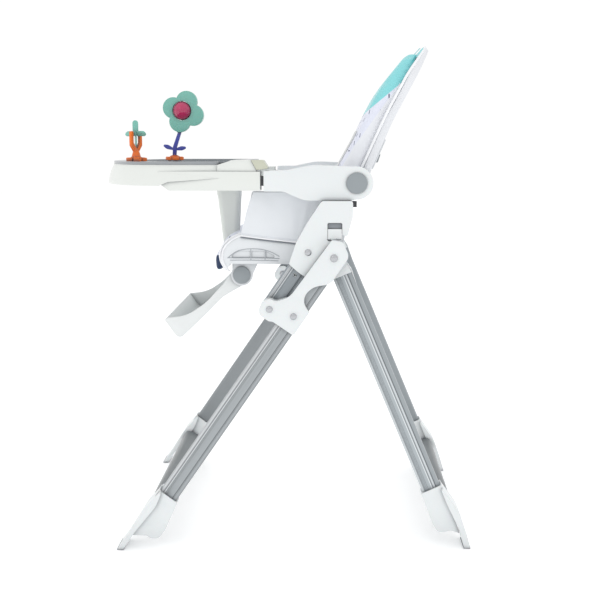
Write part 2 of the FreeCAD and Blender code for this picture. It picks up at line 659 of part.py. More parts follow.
def back_front_line():
    return [(72.0, 706.0), (123.0, 806.0), (176.0, 901.0), (232.0, 984.0), (278.0, 1040.0)]


def back_rear_line():
    lower_bend = BACK_REAR.at(0, 110.0)
    return [(303.0, 1047.0), (282.0, 1004.0), lower_bend, BACK_REAR.at(0, 0)]


def back_split_line():
    """The face between the pad and the shell, upwards."""
    return [(y - BACK_SHELL, z + 4) for y, z in reversed(back_rear_line())]


def back_front_view(half, low):
    """Front view of the backrest: straight sides and a round top."""
    return [(-half, low), (half, low), (half - 6, BACK_TOP, BACK_CORNER_R),
            (-half + 6, BACK_TOP, BACK_CORNER_R)]


def back_shell():
    """Moulded back with its lower beam and the two hinge lugs."""
    split = back_split_line()
    lower = split[0]
    outline = [(p[0], p[1], 0.0) for p in split]
    outline[1] = (*split[1], 200.0)
    outline[2] = (*split[2], 200.0)
    rear = [(p[0], p[1], 200.0) for p in back_rear_line()]
    rear[0] = (*back_rear_line()[0], 4.0)
    rear[3] = (*back_rear_line()[3], 3.0)
    side = plate([(lower[0] - 22, lower[1] - 44, 3.0)] + outline + [(298.0, BACK_TOP - 1, 6.0)]
                 + rear + [(HINGE_Y + 8, HINGE_Z - 22, 6.0)], -BACK_HALF, BACK_HALF)
    shell = side.common(curtain(back_front_view(BACK_HALF, 700.0), 0, BIG))
    lug_x = ARM_X - 2.5 - LUG_THICK
    lug = pin(HINGE_Y, HINGE_Z, LUG_R, lug_x, lug_x + LUG_THICK)
    beam = plate([(HINGE_Y + 6, HINGE_Z - 2, 4.0), (HINGE_Y + 22, HINGE_Z - 2, 4.0),
                  (HINGE_Y + 33, HINGE_Z + 34, 4.0), (HINGE_Y + 23, HINGE_Z + 34, 4.0)],
                 -lug_x - LUG_THICK, lug_x + LUG_THICK)
    bore = pin(HINGE_Y, HINGE_Z, HINGE_PIN_R + PIN_GAP, -BIG, BIG)
    return shell.fuse([beam, lug, mirrored(lug)]).cut(bore).removeSplitter()


def back_pad():
    """Padded cushion in front of the shell."""
    front = [(p[0], p[1], 300.0) for p in back_front_line()]
    front[0] = (*back_front_line()[0], 10.0)
    front[4] = (*back_front_line()[4], 60.0)
    split = [(y - SOFT_GAP - 0.3, z) for y, z in reversed(back_split_line())]
    rear = [(p[0], p[1], 200.0) for p in split]
    rear[0] = (*split[0], 0.0)
    rear[3] = (*split[3], 10.0)
    outline = (front + [(287.0, BACK_TOP, 6.0), (295.0, BACK_TOP, 1.0)]
               + rear + [(110.0, 706.0, 12.0)])
    half = BACK_HALF - 4
    side = plate(outline, -half, half)
    return side.common(curtain(back_front_view(half, 690.0), 0, BIG))


def recline_case():
    """Moulded case low on the back's rear face, with a pocket for the recline handle."""
    case = BACK_REAR.plate([(0.6, 2.0, 1.0), (CASE_DEPTH, -1.0, 3.0), (CASE_DEPTH, CASE_HEIGHT, 4.0),
                            (0.6, CASE_HEIGHT + 3, 1.0)], -CASE_HALF, CASE_HALF)
    half = HANDLE_HALF + SLIDE_GAP
    low = CASE_HEIGHT / 4 - SLIDE_GAP
    pocket = BACK_REAR.plate([(2.5, low, 0.0), (BIG / 10, low, 0.0),
                              (BIG / 10, low + HANDLE_HEIGHT + HANDLE_TRAVEL + 2, 0.0),
                              (2.5, low + HANDLE_HEIGHT + HANDLE_TRAVEL + 2, 0.0)], -half, half)
    return case.cut(pocket)


def recline_handle():
    """Handle that is squeezed upwards to free the recline latch."""
    low = CASE_HEIGHT / 4
    depth = CASE_DEPTH + 6
    return BACK_REAR.plate([(2.5 + SLIDE_GAP, low, 0.0), (depth, low, 3.0),
                            (depth - 2, low + HANDLE_HEIGHT, 5.0),
                            (2.5 + SLIDE_GAP, low + HANDLE_HEIGHT, 0.0)], -HANDLE_HALF, HANDLE_HALF)


# ---------------------------------------------------------------- harness

def buckle():
    top = SEAT_FLOOR + SEAT_PAD + SOFT_GAP
    return slab([(-BUCKLE_HALF, -48.0, 8.0), (BUCKLE_HALF, -48.0, 8.0), (BUCKLE_HALF, -10.0, 8.0),
                 (-BUCKLE_HALF, -10.0, 8.0)], top, top + 12.0)


def lap_straps():
    """Webbing across the lap and between the legs, on the seat pad."""
    z0 = SEAT_FLOOR + SEAT_PAD + SOFT_GAP
    z1 = z0 + WEB_THICK
    lap = box(BUCKLE_HALF, SEAT_PAD_HALF - 4, -41.0, -41.0 + WEB_WIDTH, z0, z1)
    crotch = box(-WEB_WIDTH / 2, WEB_WIDTH / 2, -80.0, -48.0, z0, z1)
    return Part.makeCompound([lap, mirrored(lap), crotch])


def shoulder_straps():
    """Webbing down the front of the back pad."""
    low, bend, top = (80.2, 722.0), (123.0, 806.0), (164.3, 880.0)
    near = SOFT_GAP + 0.1
    far = near + WEB_THICK * 1.15
    strap = plate([(low[0] - near, low[1]), (bend[0] - near, bend[1], 300.0),
                   (top[0] - near, top[1]), (top[0] - far, top[1]),
                   (bend[0] - far, bend[1], 300.0), (low[0] - far, low[1])],
                  WEB_SPREAD, WEB_SPREAD + WEB_WIDTH)
    return both(strap)


def strap_anchors():
    """Black strap locks on the seat shell's rear corners."""
    return both(box(SEAT_HALF - 24, SEAT_HALF - 2, SEAT_REAR, SEAT_REAR + 14, 724.0, 736.0))


# ---------------------------------------------------------------- tray

def tray_outline(inset):
    """Plan of the tray as a face at height 0: an elliptic front, nearly straight sides and a
    rear edge curved round the child."""
    a = TRAY_HALF - inset
    b = TRAY_REACH - inset
    rear = TRAY_REAR_Y - inset * 0.6
    side = a - 5.0
    waist = a - 52.0
    ellipse = Part.Ellipse(V(a, TRAY_MID_Y, 0), V(0, TRAY_MID_Y - b, 0), V(0, TRAY_MID_Y, 0))
    edges = [Part.ArcOfEllipse(ellipse, 0, math.pi).toShape(),
             Part.LineSegment(V(-a, TRAY_MID_Y, 0), V(-side, rear, 0)).toShape(),
             Part.LineSegment(V(-side, rear, 0), V(-waist, rear, 0)).toShape(),
             Part.Arc(V(-waist, rear, 0), V(0, rear - TRAY_REAR_DIP, 0), V(waist, rear, 0)).toShape(),
             Part.LineSegment(V(waist, rear, 0), V(side, rear, 0)).toShape(),
             Part.LineSegment(V(side, rear, 0), V(a, TRAY_MID_Y, 0)).toShape()]
    return Part.Wire(edges)


def tray_layer(inset, z0, z1):
    face = Part.Face(tray_outline(inset))
    face.translate(V(0, 0, z0))
    return face.extrude(V(0, 0, z1 - z0))


def tray_arm_block(gap):
    return box(ARM_X - gap, ARM_OUT - 2 + gap, TRAY_ARM_FRONT, TRAY_ARM_REAR,
               TRAY_ARM_LOW, TRAY_ARM_HIGH)


def tray_body():
    """White tray: rounded skirt, shallow well and a raised wing over the arm on the +X side."""
    levels = [(0.0, TRAY_LOW), (2.0, TRAY_LOW + 14), (7.0, TRAY_LOW + 30), (13.0, TRAY_RIM)]
    wires = []
    for inset, z in levels:
        wire = tray_outline(inset)
        wire.translate(V(0, 0, z))
        wires.append(wire)
    outer = Part.makeLoft(wires, True, False)
    under = tray_layer(13.0 + TRAY_WALL, TRAY_LOW - 5, TRAY_FLOOR - 3)
    well = tray_layer(INSERT_INSET + INSERT_LIP - 1, TRAY_FLOOR, BIG)
    slope = plate([(TRAY_ARM_FRONT - 200, TRAY_LOW - 20), (TRAY_ARM_FRONT, TRAY_LOW),
                   (TRAY_ARM_FRONT + 20, TRAY_LOW + 8), (TRAY_REAR_Y + 10, 789.5),
                   (TRAY_REAR_Y + 10, TRAY_LOW - 20)], -BIG, BIG)
    wing = plate([(TRAY_REAR_Y - 52, TRAY_ARM_HIGH), (WING_LOW_Y, TRAY_ARM_HIGH),
                  (WING_TOP_Y, WING_TOP), (TRAY_REAR_Y - 20, WING_TOP, 20.0),
                  (TRAY_REAR_Y - 52, TRAY_RIM, 0.0)], ARM_X - 6, ARM_OUT - 4)
    arms = [tray_arm_block(0.0), mirrored(tray_arm_block(0.0))]
    return outer.cut([under, well, slope]).fuse(wing).cut(arms).removeSplitter()


def tray_arm():
    """Hollow arm under the tray, pointed in front, that slides on the armrest's bar."""
    block = plate([(TRAY_ARM_FRONT, TRAY_ARM_HIGH), (TRAY_ARM_FRONT, 776.0, 3.0),
                   (TRAY_ARM_FRONT + 20, TRAY_ARM_LOW, 12.0), (TRAY_ARM_REAR, TRAY_ARM_LOW, 1.0),
                   (TRAY_ARM_REAR, TRAY_ARM_HIGH)], ARM_X, ARM_OUT - 2)
    middle = ARM_X + ARM_THICK / 2
    z = (TRAY_ARM_LOW + TRAY_ARM_HIGH) / 2
    half = ARM_BAR_WIDTH / 2 + SLIDE_GAP
    tall = ARM_BAR_HEIGHT / 2 + SLIDE_GAP
    channel = curtain([(middle - half, z - tall, 3.0), (middle + half, z - tall, 3.0),
                       (middle + half, z + tall, 3.0), (middle - half, z + tall, 3.0)],
                      ARM_FRONT - ARM_BAR_REACH - 2, TRAY_ARM_REAR + 1)
    return block.cut(channel)


def tray_button():
    """Release button behind the wing; it is pressed towards the child."""
    slope = (WING_LOW_Y - WING_TOP_Y) / (WING_TOP - TRAY_ARM_HIGH)
    low = TRAY_ARM_HIGH + 3
    gap = SLIDE_GAP * 1.2
    return plate([(WING_TOP_Y + gap, WING_TOP), (-37.0, WING_TOP, 4.0), (-25.0, low + 2, 3.0),
                  (WING_TOP_Y + (WING_TOP - low) * slope + gap, low)], ARM_X - 2, ARM_OUT - 2)


def tray_insert():
    """Grey lift-off dish: a lip on the tray's rim, a deep middle and two stands for toys."""
    bowl = tray_layer(INSERT_INSET + INSERT_LIP, INSERT_FLOOR - 3, INSERT_RIM)
    lip = tray_layer(INSERT_INSET, TRAY_RIM + SOFT_GAP, INSERT_RIM)
    hollow = tray_layer(INSERT_INSET + INSERT_LIP + 3, INSERT_FLOOR, BIG)
    wing = box(ARM_X - 7, BIG, TRAY_REAR_Y - 53, BIG, 0, BIG)
    dish = bowl.fuse(lip).cut([hollow, wing])
    stands = [bowl.common(Part.makeCylinder(TOY_STAND_R, INSERT_RIM - INSERT_FLOOR + 1,
                                            V(x, y, INSERT_FLOOR - 1), V(0, 0, 1)))
              for x, y in ((FLOWER_X, FLOWER_Y), (SPINNER_X, SPINNER_Y))]
    return dish.fuse(stands).removeSplitter()


def crotch_post(tray):
    """Tapered post under the tray, cut to the tray's underside."""
    def section(z, y0, y1, half):
        return rounded([(-half, y0, half * 0.7), (half, y0, half * 0.7), (half, y1, half * 0.7),
                        (-half, y1, half * 0.7)], lambda p: V(p.x, p.y, z)).OuterWire
    post = Part.makeLoft([section(TRAY_FLOOR - 3, -168.0, -104.0, POST_HALF),
                          section(700.0, -157.0, -109.0, POST_HALF * 0.95),
                          section(POST_LOW, -148.0, -113.0, POST_HALF * 0.85)], True, False)
    return post.cut(tray)


# ---------------------------------------------------------------- footrest

def footrest():
    """Scoop between two side arms that hang on the ears."""
    arm = [(FOOTREST_Y - 16, FOOTREST_Z + 11, 9.0), (FOOTREST_Y - 44, 554.0, 60.0),
           (-170.0, 514.0, 120.0), (-212.0, 485.0, 90.0), (-262.0, 479.0, 3.0),
           (-229.0, 433.0, 12.0), (-163.0, 496.0, 160.0), (-133.0, 528.0, 90.0),
           (FOOTREST_Y + 4, 556.0, 8.0)]
    inner = FOOTREST_HALF - FOOTREST_WALL
    side = plate(arm, inner, FOOTREST_HALF)
    eye = pin(FOOTREST_Y, FOOTREST_Z, EAR_R - 4, inner, FOOTREST_HALF)
    bore = pin(FOOTREST_Y, FOOTREST_Z, FOOT_PIN_R + PIN_GAP, 0, BIG)
    flank = side.fuse(eye).cut(bore)
    sheet = FOOTREST_SHEET
    overlap = FOOTREST_WALL / 2
    scoop = plate([(-260.0, 478.6, 2.0), (-228.8, 435.0, 14.0), (-186.0, 474.5, 300.0),
                   (-150.0, 511.0, 0.0), (-150.0 - sheet * 0.7, 511.0 + sheet * 0.7, 0.0),
                   (-189.0, 478.2, 300.0), (-227.8, 441.0, 14.0), (-256.0, 480.2, 0.0)],
                  -inner - overlap, inner + overlap)
    return scoop.fuse([flank, mirrored(flank)])


def footrest_pin():
    """Hinge pin with its grey disc on the ear's outer face."""
    x0 = FOOTREST_HALF - FOOTREST_WALL - 3
    x1 = FOOTREST_HALF + EAR_GAP + EAR_THICK
    shank = pin(FOOTREST_Y, FOOTREST_Z, FOOT_PIN_R, x0, x1)
    return shank.fuse(pin(FOOTREST_Y, FOOTREST_Z, FOOT_DISC_R, x1, x1 + FOOT_DISC_THICK))


# ---------------------------------------------------------------- toys

def toy_base(x, y, radius, count):
    """Orange foot with round petals on a toy stand."""
    z = INSERT_RIM
    core = Part.makeCone(radius * 0.62, radius * 0.3, 11.0, V(x, y, z), V(0, 0, 1))
    petals = []
    for i in range(count):
        angle = 2 * math.pi * (i + 0.3) / count
        middle = V(x + radius * 0.62 * math.cos(angle), y + radius * 0.62 * math.sin(angle), z)
        petals.append(Part.makeCylinder(radius * 0.38, 3.0, middle, V(0, 0, 1)))
    return core.fuse(petals)


def flower_stem():
    """Leaning blue stem with two leaves, from the base to the flower's neck."""
    low = INSERT_RIM + 11.0
    fork = low + 13.0
    stem = plate([(FLOWER_Y - 4.5, low), (FLOWER_Y + 4.5, low), (FLOWER_Y + 5.5, fork + 4, 10.0),
                  (NECK_Y + 4, NECK_Z), (NECK_Y - 4, NECK_Z), (FLOWER_Y - 3.5, fork + 6, 10.0)],
                 FLOWER_X - 3, FLOWER_X + 3)
    right = leaf(FLOWER_Y + 1, fork, 33.0, 10.0)
    left = leaf(FLOWER_Y - 1, fork, 33.0, 158.0)
    return stem.fuse([right, left])


def leaf(y, z, length, degrees):
    """A flat pointed oval that starts at (y, z)."""
    wide = length * 0.16
    outline = [(0.0, -2.0, 0.0), (length * 0.5, -wide, length * 0.4), (length, 0.0, 3.0),
               (length * 0.5, wide, length * 0.4), (0.0, 2.0, 0.0)]
    shape = plate(outline, FLOWER_X - 2, FLOWER_X + 2)
    shape.rotate(V(0, 0, 0), V(1, 0, 0), degrees)
    shape.translate(V(0, y, z))
    return shape


def flower_head():
    """Teal four-lobed flower around its ball, with a neck on the stem and two pivot pins."""
    x0 = FLOWER_X - FLOWER_THICK / 2
    x1 = x0 + FLOWER_THICK
    flower = pin(FLOWER_HEAD_Y, FLOWER_HEAD_Z, LOBE_REACH, x0, x1)
    for i in range(4):
        angle = math.radians(90 * i + LOBE_TURN)
        flower = flower.fuse(pin(FLOWER_HEAD_Y + LOBE_REACH * math.cos(angle),
                                 FLOWER_HEAD_Z + LOBE_REACH * math.sin(angle), LOBE_R, x0, x1))
    neck = plate([(NECK_Y - 6, NECK_Z), (NECK_Y + 6, NECK_Z), (NECK_Y + 8, NECK_Z + 14),
                  (NECK_Y - 4, NECK_Z + 14)], FLOWER_X - 5, FLOWER_X + 5)
    room = pin(BALL_Y, BALL_Z, BALL_R + 0.6, x0 - 1, x1 + 1)
    pivots = [Part.makeCylinder(BALL_PIN_R, 4.0, V(FLOWER_X, BALL_Y, BALL_Z + side * (BALL_R + 2.5)),
                                V(0, 0, -side)) for side in (-1, 1)]
    return flower.fuse(neck).cut(room).fuse(pivots)


def flower_ball():
    middle = V(FLOWER_X, BALL_Y, BALL_Z)
    bore = Part.makeCylinder(BALL_PIN_R + PIN_GAP, 4 * BALL_R, middle - V(0, 0, 2 * BALL_R),
                             V(0, 0, 1))
    return Part.makeSphere(BALL_R, middle).cut(bore)


def spinner_fork():
    """Orange base and fork that hold the spinner's axle."""
    base = toy_base(SPINNER_X, SPINNER_Y, 23.0, 5)
    z0 = INSERT_RIM + 9.0
    cone = Part.makeCone(10.0, 6.0, 14.0, V(SPINNER_X, SPINNER_Y, z0), V(0, 0, 1))
    knee = SPINNER_Z - 25
    top = SPINNER_Z + 5
    right = [(FORK_HALF, knee, 5.0), (FORK_HALF, top, 3.0), (FORK_HALF - FORK_THICK, top, 3.0),
             (FORK_HALF - FORK_THICK, knee + 6, 5.0)]
    left = [(-x, z, radius) for x, z, radius in reversed(right)]
    fork = curtain([(-4.0, z0 + 8, 0.0), (4.0, z0 + 8, 0.0)] + right + [(0.0, knee - 9, 3.0)] + left,
                   -FORK_THICK / 2, FORK_THICK / 2)
    fork.rotate(V(0, 0, 0), V(0, 0, 1), -SPINNER_TURN)
    fork.translate(V(SPINNER_X, SPINNER_Y, 0))
    return base.fuse(cone).fuse(fork).cut(spinner_axle_hole())


def spinner_axle_hole():
    start = V(SPINNER_X, SPINNER_Y, SPINNER_Z) - SPIN * 13.0
    return Part.makeCylinder(AXLE_R + PIN_GAP, 26.0, start, SPIN)


def spinner():
    """Hub with four twisted petals on its axle."""
    centre = V(SPINNER_X, SPINNER_Y, SPINNER_Z)
    hub = Part.makeCylinder(5.0, 12.0, centre - SPIN * 6.0, SPIN)
    axle = Part.makeCylinder(AXLE_R, 24.0, centre - SPIN * 12.0, SPIN)
    blades = []
    for i in range(4):
        blade = Part.makeBox(2.2, 12.0, BLADE_LENGTH - 9, V(-1.1, -6.0, 3.0))
        tip = Part.makeCylinder(6.0, 2.2, V(-1.1, 0, BLADE_LENGTH - 6), V(1, 0, 0))
        blade = blade.fuse(tip)
        blade.rotate(V(0, 0, 0), V(0, 0, 1), 35)
        blade.rotate(V(0, 0, 0), V(1, 0, 0), 90 * i)
        blade.rotate(V(0, 0, 0), V(0, 0, 1), -SPINNER_TURN)
        blade.translate(centre)
        blades.append(blade)
    return hub.fuse([axle] + blades)


# ---------------------------------------------------------------- write the pieces

os.makedirs("parts", exist_ok=True)

save_pair("front_leg", front_leg())
save_pair("front_foot", front_foot())
save("front_sole_pads", sole_pads(FRONT, -1, FRONT_LEG_X))
save("front_cross_bar", cross_bar(FRONT, 0.0, FRONT_LEG_X - FOOT_WALL, front_foot()))
save_pair("hinge_bracket", hinge_bracket())
save_pair("seat_rail", seat_rail())
save("frame_rivets", frame_rivets())
save("pivot_bolts", both(pivot_bolt()))
save("pivot_spacers", both(pivot_spacer()))
save_pair("rear_leg", rear_leg())
save_pair("rear_leg_cap", rear_cap())
save_pair("rear_foot", rear_foot())
save("rear_sole_pads", sole_pads(REAR, 1, REAR_LEG_X))
save("rear_cross_bar", cross_bar(REAR, 6.0, REAR_LEG_X - FOOT_WALL, rear_foot()))
save_pair("slide_housing", slide_housing())
save("housing_rivets", both(housing_rivet()))
save("height_keys", both(height_key()))
save_pair("height_flap", height_flap())
save("seat_shell", seat_shell())
save_pair("side_panel", side_panel())
save("seat_pad", Part.makeCompound(seat_pad()))
save_pair("armrest", armrest())
save("recline_pins", both(recline_pin()))
save_pair("arm_bar", arm_bar())
save("back_shell", back_shell())
save("back_pad", back_pad())
save("recline_case", recline_case())
save("recline_handle", recline_handle())
save("harness_buckle", buckle())
save("lap_straps", lap_straps())
save("shoulder_straps", shoulder_straps())
save("strap_anchors", strap_anchors())
save("tray_body", tray_body())
save_pair("tray_arm", tray_arm())
save("tray_button", tray_button())
save("tray_insert", tray_insert())
save("crotch_post", crotch_post(tray_body()))
save("footrest", footrest())
save("footrest_pins", both(footrest_pin()))
save("flower_base", toy_base(FLOWER_X, FLOWER_Y, 22.0, 6))
save("flower_stem", flower_stem())
save("flower_head", flower_head())
save("flower_ball", flower_ball())
save("spinner_fork", spinner_fork())
save("spinner", spinner())
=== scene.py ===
import json
import math
import bmesh
import bpy
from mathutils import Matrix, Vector, noise
from mathutils.bvhtree import BVHTree


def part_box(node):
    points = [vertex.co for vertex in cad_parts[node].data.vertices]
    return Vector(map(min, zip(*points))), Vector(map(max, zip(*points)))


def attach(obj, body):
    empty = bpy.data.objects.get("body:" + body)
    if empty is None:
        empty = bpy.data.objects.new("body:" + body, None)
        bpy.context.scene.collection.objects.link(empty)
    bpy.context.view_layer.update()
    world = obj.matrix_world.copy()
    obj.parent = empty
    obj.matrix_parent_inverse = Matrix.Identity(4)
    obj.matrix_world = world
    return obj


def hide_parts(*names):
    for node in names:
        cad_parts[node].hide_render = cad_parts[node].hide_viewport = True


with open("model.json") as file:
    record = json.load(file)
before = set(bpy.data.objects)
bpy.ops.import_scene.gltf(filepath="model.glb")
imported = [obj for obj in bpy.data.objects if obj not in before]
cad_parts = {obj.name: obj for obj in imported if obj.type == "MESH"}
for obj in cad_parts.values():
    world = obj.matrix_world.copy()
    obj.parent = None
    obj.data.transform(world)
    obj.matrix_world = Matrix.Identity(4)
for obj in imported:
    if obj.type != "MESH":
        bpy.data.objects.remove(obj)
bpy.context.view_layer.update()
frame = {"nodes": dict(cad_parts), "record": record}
nodes = frame["nodes"]
record = frame["record"]
scene = bpy.context.scene
print("frame loaded with", len(nodes), "nodes")

bodyOf = {node: body for body, members in record["behaviour"]["bodies"].items() for node in members}
slotOf = {row["node"]: row["material_slot"] for row in record["subparts"]}
sides = ((1, "Left"), (-1, "Right"))    # the left side is at +X


# camera and studio

studio = {
    "cameraPlace": (2.1, 0.0995, 0.84781),
    "pitch": 9.37,          # degrees down
    "yaw": 2.152,           # degrees towards the tray
    "lens": 55.0,
    "floor": (0.93, 0.935, 0.94),
    "floorReach": 14.0,
    "floorGlow": 0.24,
    "skyStrength": 1.02,
    "lightTarget": (0.0, 0.0, 0.6),
    "key": ((2.4, -1.8, 2.9), 1.6, 2.4),    # place, size and power
    "fill": ((2.2, 2.4, 1.2), 2.0, 0.4),
}


def facing(direction):
    return Vector(direction).to_track_quat("-Z", "Y").to_euler()


def makeCamera():
    data = bpy.data.cameras.new("camera")
    data.lens = studio["lens"]
    data.sensor_width = 36.0
    data.clip_end = 60.0
    camera = bpy.data.objects.new("camera", data)
    scene.collection.objects.link(camera)
    pitch, yaw = math.radians(studio["pitch"]), math.radians(studio["yaw"])
    ahead = Vector((-math.cos(yaw) * math.cos(pitch), -math.sin(yaw) * math.cos(pitch), -math.sin(pitch)))
    camera.location = studio["cameraPlace"]
    camera.rotation_euler = facing(ahead)
    scene.camera = camera


def areaLight(name, place, size, power):
    data = bpy.data.lights.new(name, "AREA")
    data.shape = "DISK"
    data.size = size
    data.energy = power
    lamp = bpy.data.objects.new(name, data)
    lamp.location = place
    lamp.rotation_euler = facing(Vector(studio["lightTarget"]) - Vector(place))
    scene.collection.objects.link(lamp)


def makeFloor():
    reach = studio["floorReach"]
    mesh = bpy.data.meshes.new("floor")
    mesh.from_pydata([(-reach, -reach, 0), (reach, -reach, 0), (reach, reach, 0), (-reach, reach, 0)],
                     [], [(0, 1, 2, 3)])
    paint = bpy.data.materials.new("floorPaint")
    paint.use_nodes = True
    shader = paint.node_tree.nodes["Principled BSDF"]
    shader.inputs["Base Color"].default_value = (*studio["floor"], 1.0)
    shader.inputs["Roughness"].default_value = 0.9
    shader.inputs["Emission Color"].default_value = (1, 1, 1, 1)
    shader.inputs["Emission Strength"].default_value = studio["floorGlow"]
    mesh.materials.append(paint)
    made = bpy.data.objects.new("floor", mesh)
    scene.collection.objects.link(made)


def makeStudio():
    world = bpy.data.worlds.new("studioWorld")
    scene.world = world
    world.use_nodes = True
    background = world.node_tree.nodes["Background"]
    background.inputs["Color"].default_value = (1.0, 1.0, 1.0, 1.0)
    background.inputs["Strength"].default_value = studio["skyStrength"]
    areaLight("keyLight", *studio["key"])
    areaLight("fillLight", *studio["fill"])
    makeFloor()
    scene.view_settings.view_transform = "Standard"


makeCamera()
makeStudio()
print("camera and studio made")


# shader node groups

def newGroup(name, inputs, outputs):
    tree = bpy.data.node_groups.new(name, "ShaderNodeTree")
    for label, kind, value in inputs:
        socket = tree.interface.new_socket(label, in_out="INPUT", socket_type=kind)
        if value is not None:
            socket.default_value = value
    for label, kind in outputs:
        tree.interface.new_socket(label, in_out="OUTPUT", socket_type=kind)
    return tree, tree.nodes.new("NodeGroupInput"), tree.nodes.new("NodeGroupOutput")


def node(tree, kind, **settings):
    made = tree.nodes.new(kind)
    for key, value in settings.items():
        setattr(made, key, value)
    return made


def feed(tree, socket, value):
    # a number or a colour is set, and another socket is linked
    if isinstance(value, (int, float)):
        socket.default_value = value
    elif isinstance(value, tuple):
        socket.default_value = (*value, 1.0)
    else:
        tree.links.new(value, socket)


def mathNode(tree, operation, *values):
    made = node(tree, "ShaderNodeMath", operation=operation)
    for socket, value in zip(made.inputs, values):
        feed(tree, socket, value)
    return made.outputs[0]


def mixColour(tree, factor, first, second, blend="MIX"):
    made = node(tree, "ShaderNodeMix", data_type="RGBA", blend_type=blend)
    for index, value in ((0, factor), (6, first), (7, second)):
        feed(tree, made.inputs[index], value)
    return made.outputs[2]


def speckle(tree, scale, detail=2.0):
    # noise in the object's own coordinates
    place = node(tree, "ShaderNodeTexCoord")
    made = node(tree, "ShaderNodeTexNoise")
    feed(tree, made.inputs["Scale"], scale)
    made.inputs["Detail"].default_value = detail
    tree.links.new(place.outputs["Object"], made.inputs["Vector"])
    return made.outputs["Fac"]


def varied(tree, tint, factor):
    # a tint made lighter and darker by a factor near 1
    grey = node(tree, "ShaderNodeCombineColor")
    for socket in grey.inputs[:3]:
        tree.links.new(factor, socket)
    return mixColour(tree, 1.0, tint, grey.outputs[0], "MULTIPLY")


def closedInShade(tree, distance, strength):
    # how closed in a place is within a distance, from 0 to strength, used as the amount of painted shade
    around = node(tree, "ShaderNodeAmbientOcclusion", samples=5)
    around.inputs["Distance"].default_value = distance
    return mathNode(tree, "MULTIPLY", mathNode(tree, "SUBTRACT", 1.0, around.outputs["AO"]), strength)


colour, amount, vector = "NodeSocketColor", "NodeSocketFloat", "NodeSocketVector"
# the dark tint that crevices and hollows are painted towards, as painted shade
paintedShadeTint = (0.13, 0.14, 0.155)


def mouldedSkinAndShadeGroup():
    # moulded plastic: fine grain, a slow change of tone, and painted shade darkening its crevices and hollows
    tree, start, end = newGroup("mouldedSkinAndShade",
        [("Colour", colour, None), ("Roughness", amount, 0.3), ("Grain", amount, 900.0),
         ("Mottle", amount, 0.03), ("CreviceShade", amount, 0.90), ("Hollow", amount, 0.30)],
        [("Colour", colour), ("Roughness", amount), ("Height", amount)])
    offset = mathNode(tree, "SUBTRACT", speckle(tree, 7.0, 3.0), 0.5)
    factor = mathNode(tree, "ADD", mathNode(tree, "MULTIPLY", offset, start.outputs["Mottle"]), 1.0)
    tint = varied(tree, start.outputs["Colour"], factor)
    # painted shade: crevices within 9 mm and hollows within 90 mm are darkened towards a dark tint
    shade = closedInShade(tree, 0.009, start.outputs["CreviceShade"])
    deepShade = closedInShade(tree, 0.09, start.outputs["Hollow"])
    both = mathNode(tree, "MINIMUM", mathNode(tree, "ADD", shade, deepShade), 0.9)
    tree.links.new(mixColour(tree, both, tint, paintedShadeTint), end.inputs["Colour"])
    rough = mathNode(tree, "MULTIPLY_ADD", offset, 0.16, start.outputs["Roughness"])
    tree.links.new(rough, end.inputs["Roughness"])
    tree.links.new(speckle(tree, start.outputs["Grain"]), end.inputs["Height"])
    return tree


def sectionGroup(name, bands):
    # stripes along a drawn metal section: painted highlights on its ribs and edges and painted shade in its
    # grooves;
    # each band is (place across, half width, softness, tone, strength), with its first three in millimetres
    tree, start, end = newGroup(name,
        [("Across", amount, 0.0), ("Outside", amount, 1.0), ("Colour", colour, None),
         ("Light", colour, None), ("Dark", colour, None)],
        [("Colour", colour), ("Roughness", amount), ("Height", amount)])
    # faces inside the middle are painted darker, as painted shade
    innerShade = mathNode(tree, "MULTIPLY", mathNode(tree, "SUBTRACT", 1.0, start.outputs["Outside"]), 0.28)
    tint = mixColour(tree, innerShade, start.outputs["Colour"], start.outputs["Dark"])
    for place, half, soft, tone, strength in bands:
        offset = mathNode(tree, "SUBTRACT", start.outputs["Across"], place / 1000)
        inside = node(tree, "ShaderNodeMapRange", interpolation_type="SMOOTHSTEP")
        inside.inputs["From Min"].default_value = (half + soft) / 1000
        inside.inputs["From Max"].default_value = half / 1000
        inside.inputs["To Max"].default_value = strength
        tree.links.new(mathNode(tree, "ABSOLUTE", offset), inside.inputs["Value"])
        shown = mathNode(tree, "MULTIPLY", inside.outputs[0], start.outputs["Outside"])
        tint = mixColour(tree, shown, tint, start.outputs[tone])
    # painted shade in crevices
    shade = closedInShade(tree, 0.010, 0.7)
    tree.links.new(mixColour(tree, shade, tint, start.outputs["Dark"]), end.inputs["Colour"])
    grain = speckle(tree, 240.0)
    tree.links.new(mathNode(tree, "MULTIPLY_ADD", grain, 0.12, 0.30), end.inputs["Roughness"])
    tree.links.new(grain, end.inputs["Height"])
    return tree


